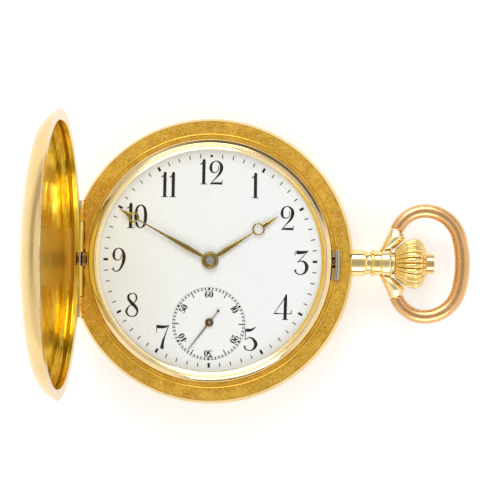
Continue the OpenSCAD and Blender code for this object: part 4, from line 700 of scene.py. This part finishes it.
# Lid catch with a rounded nib and a long leaf, as (r, z) swept round the case by (from angle, to
# angle, steps), with room for the winding stem as (radius, from, to)
NIB = [(22.74, 5.0), (23.16, 5.0), (23.16, 10.36), (23.56, 10.36), (23.58, 10.42), (23.54, 10.56),
       (23.44, 10.67), (23.30, 10.73), (23.15, 10.75), (23.0, 10.73), (22.86, 10.66), (22.77, 10.55),
       (22.74, 10.42)]
NIB_ARC = (-8.13, 5.17, 28)
LEAF = [(22.745, 5.005), (23.155, 5.005), (23.155, 6.9), (22.745, 6.9)]
LEAF_ARC = (-62, -7, 60)
STEM_ROOM = (1.12, 20.7, 26.7)


def catch_nib():
    catch = boolean(sweep_z(NIB, *NIB_ARC), [sweep_z(LEAF, *LEAF_ARC)], "UNION")
    catch = boolean(catch, [rod_x(STEM_Z, *STEM_ROOM)], "DIFFERENCE")
    finish_mesh(catch, "catch_nib", steel, "lid_catch", ("catch_spring",), limit=40)


# Rounded lip of the case inside the lid's rim, broken where the catch and the lifting spring pass
LIP = [(22.32, 9.3), (22.32, 9.42), (22.36, 9.47), (22.50, 9.53), (22.68, 9.62), (22.86, 9.72),
       (22.98, 9.77), (23.06, 9.78), (23.13, 9.75), (23.19, 9.66), (23.22, 9.5), (23.22, 9.3)]
LIP_ARCS = [(7.2, 175.6, 150), (184.4, 350.2, 150)]


def case_lip():
    parts = [sweep_z(LIP, *ends) for ends in LIP_ARCS]
    finish_mesh(gather(parts), "case_lip", gold_lip, "case", limit=40)


# Collar at the pendant's end between the wings, as (distance along the stem, radius), with room
# for the bosses as (radius, from, to)
COLLAR = [(31.22, 2.2), (31.24, 2.44), (31.36, 2.55), (31.7, 2.61), (31.98, 2.63), (32.04, 2.57),
          (32.1, 2.57), (32.16, 2.64), (32.4, 2.68), (32.65, 2.66), (32.85, 2.58), (32.97, 2.46),
          (33.0, 2.36), (33.0, 2.2)]
BOSS_ROOM = (1.5, 1.4, 4)


def pendant_collar():
    collar = revolve([(r, x) for x, r in COLLAR], segments=128)
    turn = Matrix.Translation((0, 0, STEM_Z)) @ Matrix.Rotation(math.radians(90), 4, "Y")
    bmesh.ops.transform(collar, matrix=turn, verts=collar.verts)
    room, start, end = BOSS_ROOM
    cuts = [rod_y(BOW_PIVOT_X, STEM_Z, room, *sorted((s * start, s * end))) for s in (-1, 1)]
    collar = boolean(collar, cuts, "DIFFERENCE")
    finish_mesh(collar, "pendant_collar", gold_wing_painted_light, "case", limit=30)


# Hands: underside, clock angle, hub as (radius, height), blades as (distance from the hub, half
# width), rings as (distance, outer and inner radius), and how far each is domed
HAND_EDGE = 0.04
RING_RISE = 0.12
HOUR_Z, HOUR_ANGLE, HOUR_RISE = 9.86, 56.5, 0.13
HOUR_HUB = [(1.06, 0), (1.55, 0), (1.55, 0.1), (1.48, 0.17), (1.06, 0.17)]
HOUR_BLADE = [(1.2, 0.34), (2.2, 0.42), (3.4, 0.45), (5.0, 0.37), (7.25, 0.215), (9.3, 0.13)]
HOUR_RING = (10.4, 1.14, 0.86)
HOUR_TIP = [(11.36, 0.48), (12.4, 0.34), (13.6, 0.18), (14.7, 0.05), (15.1, 0.015)]
MINUTE_Z, MINUTE_ANGLE, MINUTE_RISE = 10.18, 298.7, 0.14
MINUTE_HUB = [(0.71, 0), (1.38, 0), (1.38, 0.1), (1.33, 0.17), (1.22, 0.21), (1.08, 0.19),
              (1.02, 0.10), (0.98, 0.10), (0.93, 0.2), (0.84, 0.25), (0.74, 0.24), (0.71, 0.2)]
MINUTE_BLADE = [(1.15, 0.19), (2.4, 0.35), (4.0, 0.44), (5.2, 0.45), (7.5, 0.34), (10.4, 0.2),
                (15.1, 0.09)]
MINUTE_RING = (15.9, 1.0, 0.62)
MINUTE_TIP = [(16.76, 0.47), (17.4, 0.34), (18.2, 0.17), (18.9, 0.05), (19.2, 0.015)]
SECONDS_Z, SECONDS_ANGLE, SECONDS_RISE = 9.6, 217, 0.05
SECONDS_HUB = [(0.2, 0), (0.76, 0), (0.76, 0.06), (0.7, 0.12), (0.55, 0.17), (0.42, 0.13),
               (0.36, 0.18), (0.2, 0.2)]
SECONDS_BLADE = [(0.5, 0.12), (3.0, 0.10), (6.2, 0.06)]
SECONDS_TAIL = [(-2.55, 0.06), (-0.5, 0.09)]
TAIL_DOT = [(0, 0), (0.25, 0), (0.27, 0.06), (0.18, 0.13), (0, 0.15)]
TAIL_DOT_Y = -2.65


def blade(line, z, rise, sides=10):
    """A blade along Y, domed across."""
    rings = []
    for y, w in line:
        edge = z + HAND_EDGE
        top = [(w * math.cos(math.pi * k / sides), y, edge + rise * math.sin(math.pi * k / sides))
               for k in range(sides + 1)]
        rings.append([(w, y, z)] + top + [(-w, y, z)])
    return loft(rings)


def ring_wire(y, outer, inner, z, rise, sides=8):
    middle, half = (outer + inner) / 2, (outer - inner) / 2
    turns = [math.pi * k / sides for k in range(sides + 1)]
    dome = [(middle + half * math.cos(a), z + HAND_EDGE + rise * math.sin(a)) for a in turns]
    section = [(middle + half, z)] + dome + [(middle - half, z)]
    return moved(revolve(section, segments=72), 0, y)


def hub(profile, z, sides=96):
    return revolve([(r, z + h) for r, h in profile], sides)


def place_hand(parts, angle, at, name, skin, body, node):
    hand = boolean(parts[0], parts[1:], "UNION")
    turn = Matrix.Translation((*at, 0)) @ Matrix.Rotation(math.radians(-angle), 4, "Z")
    bmesh.ops.transform(hand, matrix=turn, verts=hand.verts)
    finish_mesh(hand, name, skin, body, (node,), limit=38)


def ringed_hand(middle, line, ring, tip, z, rise):
    """Parts of a hand whose blade opens into a ring before its tip."""
    return [hub(middle, z), blade(smooth_line(line, steps=5), z, rise), ring_wire(*ring, z, RING_RISE),
            blade(tip, z, RING_RISE)]


def hands():
    parts = ringed_hand(HOUR_HUB, HOUR_BLADE, HOUR_RING, HOUR_TIP, HOUR_Z, HOUR_RISE)
    place_hand(parts, HOUR_ANGLE, (0, 0), "hour_hand_domed", hand_painted_light, "hour",
               "hour_hand")
    parts = ringed_hand(MINUTE_HUB, MINUTE_BLADE, MINUTE_RING, MINUTE_TIP, MINUTE_Z, MINUTE_RISE)
    place_hand(parts, MINUTE_ANGLE, (0, 0), "minute_hand_domed", hand_painted_light, "centre",
               "minute_hand")
    parts = [hub(SECONDS_HUB, SECONDS_Z), blade(SECONDS_BLADE, SECONDS_Z, SECONDS_RISE, sides=6),
             blade(SECONDS_TAIL, SECONDS_Z, SECONDS_RISE, sides=6),
             moved(hub(TAIL_DOT, SECONDS_Z, sides=32), 0, TAIL_DOT_Y)]
    place_hand(parts, SECONDS_ANGLE, SECONDS_AT, "seconds_hand_fine", bronze, "fourth",
               "seconds_hand")


# Dial with a sunk disc for the small seconds, holes for the arbors and feet at three angles, with
# profiles as (r, z)
DIAL = [(0, 8.9), (20.93, 8.9), (20.95, 8.92), (20.95, 9.42), (20.9, 9.48), (20.8, DIAL_Z),
        (0, DIAL_Z)]
SINK = [(0, SINK_Z), (6.68, SINK_Z), (6.76, 9.44), (6.8, 9.6), (0, 9.6)]
DIAL_FOOT = [(0, 7.9), (0.36, 7.9), (0.4, 7.94), (0.4, 8.95), (0, 8.95)]
DIAL_FOOT_R = 18.75
DIAL_FEET = [75, 165, 285]
CENTRE_HOLE_R = 1.25
SECONDS_HOLE_R = 0.4
HOLE_Z = (8, 10)


def hole(r):
    low, top = HOLE_Z
    return revolve([(0, low), (r, low), (r, top), (0, top)], segments=64)


def dial_plate():
    sink = moved(revolve(SINK, segments=192), *TRACK_AT)
    cuts = [sink, hole(CENTRE_HOLE_R), moved(hole(SECONDS_HOLE_R), *SECONDS_AT)]
    dial = boolean(revolve(DIAL, segments=256), cuts, "DIFFERENCE")
    turns = [math.radians(turn) for turn in DIAL_FEET]
    feet = [moved(revolve(DIAL_FOOT, segments=32), DIAL_FOOT_R * math.cos(a),
                  DIAL_FOOT_R * math.sin(a)) for a in turns]
    dial = boolean(dial, feet, "UNION")
    finish_mesh(dial, "dial_plate", enamel, "case", ("dial",), limit=25)


bow_wire()
bow_wings()
crown_fluted()
bezel_ring()
catch_nib()
case_lip()
pendant_collar()
hands()
dial_plate()


# Dial markings: strokes whose width changes along a smooth line, slightly raised
THINNEST = 0.01


def slab_strip(bm, left, right, z0, z1):
    """A closed strip between two lines of points, from z0 up to z1."""
    low = [[bm.verts.new((*p, z0)) for p in side] for side in (left, right)]
    top = [[bm.verts.new((*p, z1)) for p in side] for side in (left, right)]
    last = len(left) - 1
    for i in range(last):
        bm.faces.new((top[0][i], top[0][i + 1], top[1][i + 1], top[1][i]))
        bm.faces.new((low[0][i], low[1][i], low[1][i + 1], low[0][i + 1]))
        bm.faces.new((low[0][i], low[0][i + 1], top[0][i + 1], top[0][i]))
        bm.faces.new((low[1][i + 1], low[1][i], top[1][i], top[1][i + 1]))
    for i in (0, last):
        bm.faces.new((low[0][i], top[0][i], top[1][i], low[1][i]))


def stroke(bm, points, place, z0, z1):
    """A stroke through points of (x, y, width), which place puts on the dial."""
    line = smooth_line(points) if len(points) > 2 else points
    left, right = [], []
    for i, (x, y, w) in enumerate(line):
        ax, ay, _ = line[max(i - 1, 0)]
        bx, by, _ = line[min(i + 1, len(line) - 1)]
        length = math.hypot(bx - ax, by - ay) or 1
        wide = max(w, THINNEST)
        nx, ny = -(by - ay) / length * wide / 2, (bx - ax) / length * wide / 2
        left.append(place(x + nx, y + ny))
        right.append(place(x - nx, y - ny))
    slab_strip(bm, left, right, z0, z1)


def dot(bm, x, y, r, z0, z1, sides=24):
    ring = [(x + r * math.cos(TAU * i / sides), y + r * math.sin(TAU * i / sides))
            for i in range(sides)]
    low = [bm.verts.new((*p, z0)) for p in ring]
    top = [bm.verts.new((*p, z1)) for p in ring]
    bm.faces.new(top)
    bm.faces.new(low[::-1])
    for i in range(sides):
        j = (i + 1) % sides
        bm.faces.new((low[i], low[j], top[j], top[i]))


# Each glyph is its width and a list of strokes of (x, y, width), in heights of a numeral
GLYPHS = {
    "1": (0.30, [[(0.155, 0.0, 0.125), (0.155, 0.93, 0.125), (0.175, 0.985, 0.085)],
                 [(0.20, 1.0, 0.035), (0.11, 0.91, 0.045), (0.0, 0.83, 0.03)],
                 [(0.02, 0.012, 0.024), (0.29, 0.012, 0.024)]]),
    "2": (0.57, [[(0.375, 0.80, 0.02), (0.40, 0.68, 0.022), (0.35, 0.55, 0.026),
                  (0.24, 0.49, 0.032), (0.12, 0.54, 0.07), (0.075, 0.68, 0.115),
                  (0.11, 0.87, 0.075), (0.28, 0.985, 0.028), (0.46, 0.89, 0.09),
                  (0.52, 0.70, 0.135), (0.45, 0.47, 0.095), (0.27, 0.25, 0.04),
                  (0.07, 0.02, 0.024)],
                 [(0.05, 0.012, 0.024), (0.20, 0.045, 0.075), (0.40, 0.045, 0.092),
                  (0.54, 0.04, 0.085)],
                 [(0.535, 0.0, 0.03), (0.56, 0.19, 0.02)]]),
    "3": (0.57, [[(0.09, 0.935, 0.14), (0.30, 0.93, 0.125), (0.48, 0.96, 0.08), (0.59, 1.0, 0.02)],
                 [(0.05, 0.99, 0.022), (0.035, 0.80, 0.022)],
                 [(0.58, 0.99, 0.022), (0.14, 0.52, 0.026)],
                 [(0.14, 0.52, 0.02), (0.29, 0.575, 0.032), (0.45, 0.52, 0.09),
                  (0.535, 0.33, 0.14), (0.47, 0.12, 0.09), (0.31, 0.018, 0.032),
                  (0.14, 0.05, 0.04), (0.06, 0.14, 0.06), (0.06, 0.22, 0.09)]]),
    "4": (0.75, [[(0.475, 0.01, 0.125), (0.49, 0.80, 0.125), (0.515, 1.05, 0.05)],
                 [(0.52, 1.06, 0.045), (0.40, 0.83, 0.026), (0.02, 0.26, 0.022)],
                 [(0.01, 0.255, 0.024), (0.15, 0.262, 0.05), (0.26, 0.255, 0.026),
                  (0.74, 0.255, 0.026)],
                 [(0.735, 0.24, 0.03), (0.745, 0.41, 0.02)],
                 [(0.35, 0.012, 0.024), (0.60, 0.012, 0.024)]]),
    "5": (0.57, [[(0.085, 0.87, 0.11), (0.22, 0.86, 0.125), (0.36, 0.895, 0.08),
                  (0.50, 1.0, 0.02)],
                 [(0.085, 0.90, 0.024), (0.065, 0.46, 0.024)],
                 [(0.065, 0.46, 0.02), (0.20, 0.545, 0.032), (0.37, 0.52, 0.075),
                  (0.515, 0.31, 0.14), (0.45, 0.11, 0.09), (0.30, 0.018, 0.032),
                  (0.13, 0.05, 0.04), (0.06, 0.13, 0.06), (0.06, 0.21, 0.09)]]),
    "6": (0.53, [[(0.47, 0.80, 0.09), (0.44, 0.92, 0.045), (0.33, 0.985, 0.03),
                  (0.18, 0.87, 0.07), (0.075, 0.64, 0.115), (0.06, 0.34, 0.13),
                  (0.12, 0.10, 0.08), (0.26, 0.012, 0.03), (0.42, 0.11, 0.07),
                  (0.465, 0.31, 0.11), (0.41, 0.49, 0.06), (0.28, 0.55, 0.03),
                  (0.15, 0.43, 0.024), (0.12, 0.30, 0.02)]]),
    "7": (0.53, [[(0.04, 0.925, 0.13), (0.30, 0.915, 0.115), (0.45, 0.945, 0.06),
                  (0.54, 1.0, 0.02)],
                 [(0.025, 0.985, 0.024), (0.025, 0.68, 0.020)],
                 [(0.53, 0.985, 0.026), (0.40, 0.62, 0.04), (0.29, 0.28, 0.10),
                  (0.25, 0.0, 0.15)]]),
    "8": (0.56, [[(0.30, 0.985, 0.028), (0.15, 0.91, 0.07), (0.135, 0.77, 0.10),
                  (0.25, 0.60, 0.125), (0.43, 0.42, 0.125), (0.515, 0.25, 0.075),
                  (0.45, 0.08, 0.05), (0.29, 0.015, 0.028), (0.11, 0.09, 0.06),
                  (0.055, 0.25, 0.085), (0.16, 0.44, 0.035), (0.36, 0.58, 0.026),
                  (0.46, 0.72, 0.055), (0.465, 0.86, 0.065), (0.41, 0.955, 0.035),
                  (0.30, 0.985, 0.028)]]),
    "9": (0.56, [[(0.41, 0.72, 0.02), (0.36, 0.55, 0.026), (0.24, 0.485, 0.032),
                  (0.11, 0.55, 0.07), (0.07, 0.70, 0.11), (0.12, 0.90, 0.07),
                  (0.27, 0.985, 0.03), (0.43, 0.89, 0.085), (0.505, 0.65, 0.14),
                  (0.46, 0.35, 0.11), (0.33, 0.10, 0.06), (0.19, 0.018, 0.03),
                  (0.075, 0.07, 0.045), (0.05, 0.16, 0.09)]]),
    "0": (0.53, [[(0.265, 0.985, 0.028), (0.11, 0.85, 0.085), (0.06, 0.50, 0.115),
                  (0.11, 0.15, 0.085), (0.265, 0.015, 0.028), (0.42, 0.15, 0.095),
                  (0.47, 0.50, 0.13), (0.42, 0.85, 0.095), (0.265, 0.985, 0.028)]]),
}
NUMERAL_H = 4.35
MARK_H = 0.02
# How much is added to the width of every stroke of a numeral
THIN = 0.006
# Strokes that cross differ by this much in height, so that their tops don't coincide
STROKE_STEP = 0.0015
KERN = {"11": -0.02, "10": -0.06}


def numeral(bm, text, x, y, height, turn, z, gap=0.07, heavy=1.0):
    """Writes text centred on x, y and turned by turn degrees clockwise."""
    space = gap + KERN.get(text, 0)
    width = sum(GLYPHS[c][0] for c in text) + space * (len(text) - 1)
    ca, sa = math.cos(math.radians(-turn)), math.sin(math.radians(-turn))
    start = -width / 2
    for n, c in enumerate(text):
        def place(u, v, start=start):
            px, py = (start + u) * height, (v - 0.5) * height
            return x + px * ca - py * sa, y + px * sa + py * ca
        for k, points in enumerate(GLYPHS[c][1]):
            bold = [(u, v, w * heavy + THIN) for u, v, w in points]
            stroke(bm, bold, place, z, z + MARK_H + STROKE_STEP * (k + 4 * n))
        start += GLYPHS[c][0] + space


def clock(angle, r, centre=(0, 0)):
    """The point at a clock angle, in degrees, and a distance."""
    a = math.radians(90 - angle)
    return centre[0] + r * math.cos(a), centre[1] + r * math.sin(a)


def as_is(u, v):
    return u, v


def tick(bm, angle, r0, r1, w, z, centre=(0, 0)):
    p, q = clock(angle, r0, centre), clock(angle, r1, centre)
    stroke(bm, [(*p, w), (*q, w)], as_is, z, z + MARK_H)


def track_ring(bm, r0, r1, centre, z, sides=180):
    left = [clock(i * 360 / sides, r0, centre) for i in range(sides + 1)]
    right = [clock(i * 360 / sides, r1, centre) for i in range(sides + 1)]
    slab_strip(bm, left, right, z, z + MARK_H * 0.8)


# Where each hour numeral's middle lies, in mm
HOURS = {"12": (0.0, 15.95), "1": (8.0, 13.56), "2": (13.8, 7.86), "3": (16.42, -0.22),
         "4": (13.24, -8.38), "5": (7.46, -14.08), "7": (-8.47, -13.92), "8": (-14.07, -8.22),
         "9": (-16.6, -0.09), "10": (-13.38, 7.85), "11": (-7.67, 13.55)}
# Marks as (inner radius, outer radius, width), in mm
HOUR_MARK = (18.55, 19.4, 0.43)
MINUTE_MARK = (18.62, 19.36, 0.17)
TWELVE_DOT_AT, TWELVE_DOT_R = 18.95, 0.24
TRACK_RINGS = [(6.50, 6.55), (6.14, 6.18)]
TRACK_MARK = (6.08, 6.58, 0.17)
TRACK_TEN_W = 0.34
TRACK_FIVE_R = 5.4
# Numerals of the small seconds: distance, height, gap and weight
TRACK_NUMERAL_AT, TRACK_NUMERAL_H, TRACK_GAP, TRACK_HEAVY = 5.36, 1.16, 0.12, 1.9


def dial_marks():
    bm = bmesh.new()
    for text, (x, y) in HOURS.items():
        numeral(bm, text, x, y, NUMERAL_H, 0, DIAL_Z)
    finish_mesh(bm, "hour_numerals", ink, "case")
    bm = bmesh.new()
    dot(bm, *clock(0, TWELVE_DOT_AT), TWELVE_DOT_R, DIAL_Z, DIAL_Z + MARK_H)
    for i in range(1, 60):
        tick(bm, i * 6, *(MINUTE_MARK if i % 5 else HOUR_MARK), DIAL_Z)
    finish_mesh(bm, "minute_marks", ink, "case")
    bm = bmesh.new()
    for inner, outer in TRACK_RINGS:
        track_ring(bm, inner, outer, TRACK_AT, SINK_Z)
    for i in range(60):
        inner, outer, wide = TRACK_MARK
        wide = TRACK_TEN_W if i % 10 == 0 else wide
        inner = TRACK_FIVE_R if i % 10 == 5 else inner
        tick(bm, i * 6, inner, outer, wide, SINK_Z, TRACK_AT)
    for i in range(1, 7):
        x, y = clock(i * 60, TRACK_NUMERAL_AT, TRACK_AT)
        numeral(bm, str(i * 10), x, y, TRACK_NUMERAL_H, i * 60, SINK_Z, TRACK_GAP, TRACK_HEAVY)
    finish_mesh(bm, "seconds_track", ink, "case")


dial_marks()


# Stage, lights and camera. The floor's colour keeps the gold's warm light on it near white, and
# its glow shows only where it is seen.
FLOOR_TINTS = ((0.90, 0.925, 0.955), (0.88, 0.905, 0.935))
FLOOR_GLOW = 0.22
FLOOR_HALF = 1.5
FLOOR_DROP = 0.00002
SOFT_LIGHT = 0.71


def mirrored_rays(m, path):
    """1 for the rays that come off polished metal or through glass."""
    return m.math("MAXIMUM", path["Is Glossy Ray"], path["Is Transmission Ray"])


def background_rays(m):
    """1 for the rays that show the white background: straight, mirrored and through glass."""
    path = m.add("LightPath").outputs
    return m.math("MAXIMUM", path["Is Camera Ray"], mirrored_rays(m, path))


def stage():
    m = Nodes("floor_white")
    place = m.coords()
    tint = mix_rgb(m, m.spread(m.noise(place, 12, 4), 0, 1), *FLOOR_TINTS)
    shader = m.add("BsdfPrincipled", Base_Color=tint, Roughness=0.9,
                   Normal=m.bump(m.noise(place, 900, 3), 0.02, 5 * FINE_HEIGHT))
    seen = m.add("Emission", Color=(1, 1, 1, 1),
                 Strength=m.math("MULTIPLY", background_rays(m), FLOOR_GLOW))
    both = m.add("AddShader", i0=shader.outputs[0], i1=seen.outputs[0])
    bm = bmesh.new()
    bmesh.ops.create_grid(bm, x_segments=8, y_segments=8, size=FLOOR_HALF)
    mesh = bpy.data.meshes.new("floor")
    bm.to_mesh(mesh)
    bm.free()
    floor = bpy.data.objects.new("floor", mesh)
    floor.location.z = -FLOOR_DROP
    bpy.context.scene.collection.objects.link(floor)
    mesh.materials.append(m.finish(both.outputs[0]))


# What polished metal mirrors of the room, by height: white low down, grey walls, a bright soft
# ring and a dark middle of the ceiling
CEILING = [(0.0, (1.0, 1.0, 1.0)), (0.06, (1.0, 1.0, 1.0)), (0.12, (0.42, 0.41, 0.39)),
           (0.32, (0.42, 0.41, 0.39)), (0.42, (1.0, 1.0, 1.0)), (0.78, (1.0, 1.0, 1.0)),
           (0.90, (0.52, 0.51, 0.49)), (1.0, (0.45, 0.44, 0.43))]
# Walls all round, from the left by way of the front: grey, bright, dark in front, bright on the
# right, dark behind, grey again
WALLS = [(0.0, (0.58, 0.56, 0.52)), (0.10, (1.0, 0.99, 0.95)), (0.19, (1.0, 0.99, 0.95)),
         (0.23, (0.25, 0.25, 0.21)), (0.33, (0.25, 0.25, 0.21)), (0.38, (1.0, 0.99, 0.95)),
         (0.54, (1.0, 0.99, 0.95)),
         (0.58, (0.13, 0.13, 0.11)), (0.77, (0.16, 0.16, 0.14)), (0.83, (0.62, 0.60, 0.56)),
         (1.0, (0.58, 0.56, 0.52))]
# How much the walls cover of the colours above, by height
WALL_REACH = [(0.06, (0.0, 0.0, 0.0)), (0.12, (1.0, 1.0, 1.0)), (0.34, (1.0, 1.0, 1.0)),
              (0.42, (0.0, 0.0, 0.0))]


def world():
    """White behind the object, soft grey light on it and a banded room in its reflections."""
    m = Nodes("room", world=True)
    parts = m.add("SeparateXYZ", Vector=m.add("TexCoord").outputs["Generated"])
    x, y, z = parts.outputs
    turn = m.math("ADD", m.math("DIVIDE", m.math("ARCTAN2", y, x), TAU), 0.5)
    colours = mix_rgb(m, m.ramp(z, WALL_REACH), m.ramp(z, CEILING), m.ramp(turn, WALLS))
    path = m.add("LightPath").outputs
    room = m.add("Background", Color=colours, Strength=1.0)
    soft = m.add("Background", Color=(1, 1, 1, 1), Strength=SOFT_LIGHT)
    back = m.add("Background", Color=(1, 1, 1, 1), Strength=1.0)
    mixed = m.add("MixShader", Fac=mirrored_rays(m, path), i1=soft.outputs[0],
                  i2=room.outputs[0])
    mixed = m.add("MixShader", Fac=path["Is Camera Ray"], i1=mixed.outputs[0], i2=back.outputs[0])
    bpy.context.scene.world = m.finish(mixed.outputs[0])


# Lamps as (name, place, width and height, power), in metres and watts, aimed at the watch
LAMPS = [("key_back", (-0.08, 0.52, 0.42), (0.5, 0.35), 1.95),
         ("fill_front", (0.10, -0.50, 0.35), (0.5, 0.3), 1.3)]


def lamp(name, at, size, power):
    light = bpy.data.lights.new(name, "AREA")
    light.shape = "RECTANGLE"
    light.size, light.size_y = size
    light.energy = power
    lamp_object = bpy.data.objects.new(name, light)
    lamp_object.location = at
    lamp_object.rotation_euler = (-Vector(at)).to_track_quat("-Z", "Y").to_euler()
    bpy.context.scene.collection.objects.link(lamp_object)


# The camera as it stood for the photograph, in metres and degrees
EYE = Vector((0.0219, -0.0130, 0.457))
AIM = Vector((0.00712, 0.00211, 0.007))
ROLL = 0.8
LENS = 177.05


def camera():
    data = bpy.data.cameras.new("camera")
    data.sensor_width = 36
    data.lens = LENS
    data.clip_start = 0.01
    data.clip_end = 10
    roll = math.radians(ROLL)
    back = (EYE - AIM).normalized()
    right = Vector((-math.sin(roll), math.cos(roll), 0)).cross(back).normalized()
    up = back.cross(right)
    cam = bpy.data.objects.new("camera", data)
    cam.matrix_world = Matrix([(right[i], up[i], back[i], EYE[i]) for i in range(3)] + [(0, 0, 0, 1)])
    bpy.context.scene.collection.objects.link(cam)
    bpy.context.scene.camera = cam


stage()
world()
for row in LAMPS:
    lamp(*row)
camera()
bpy.context.scene.view_settings.view_transform = "Standard"
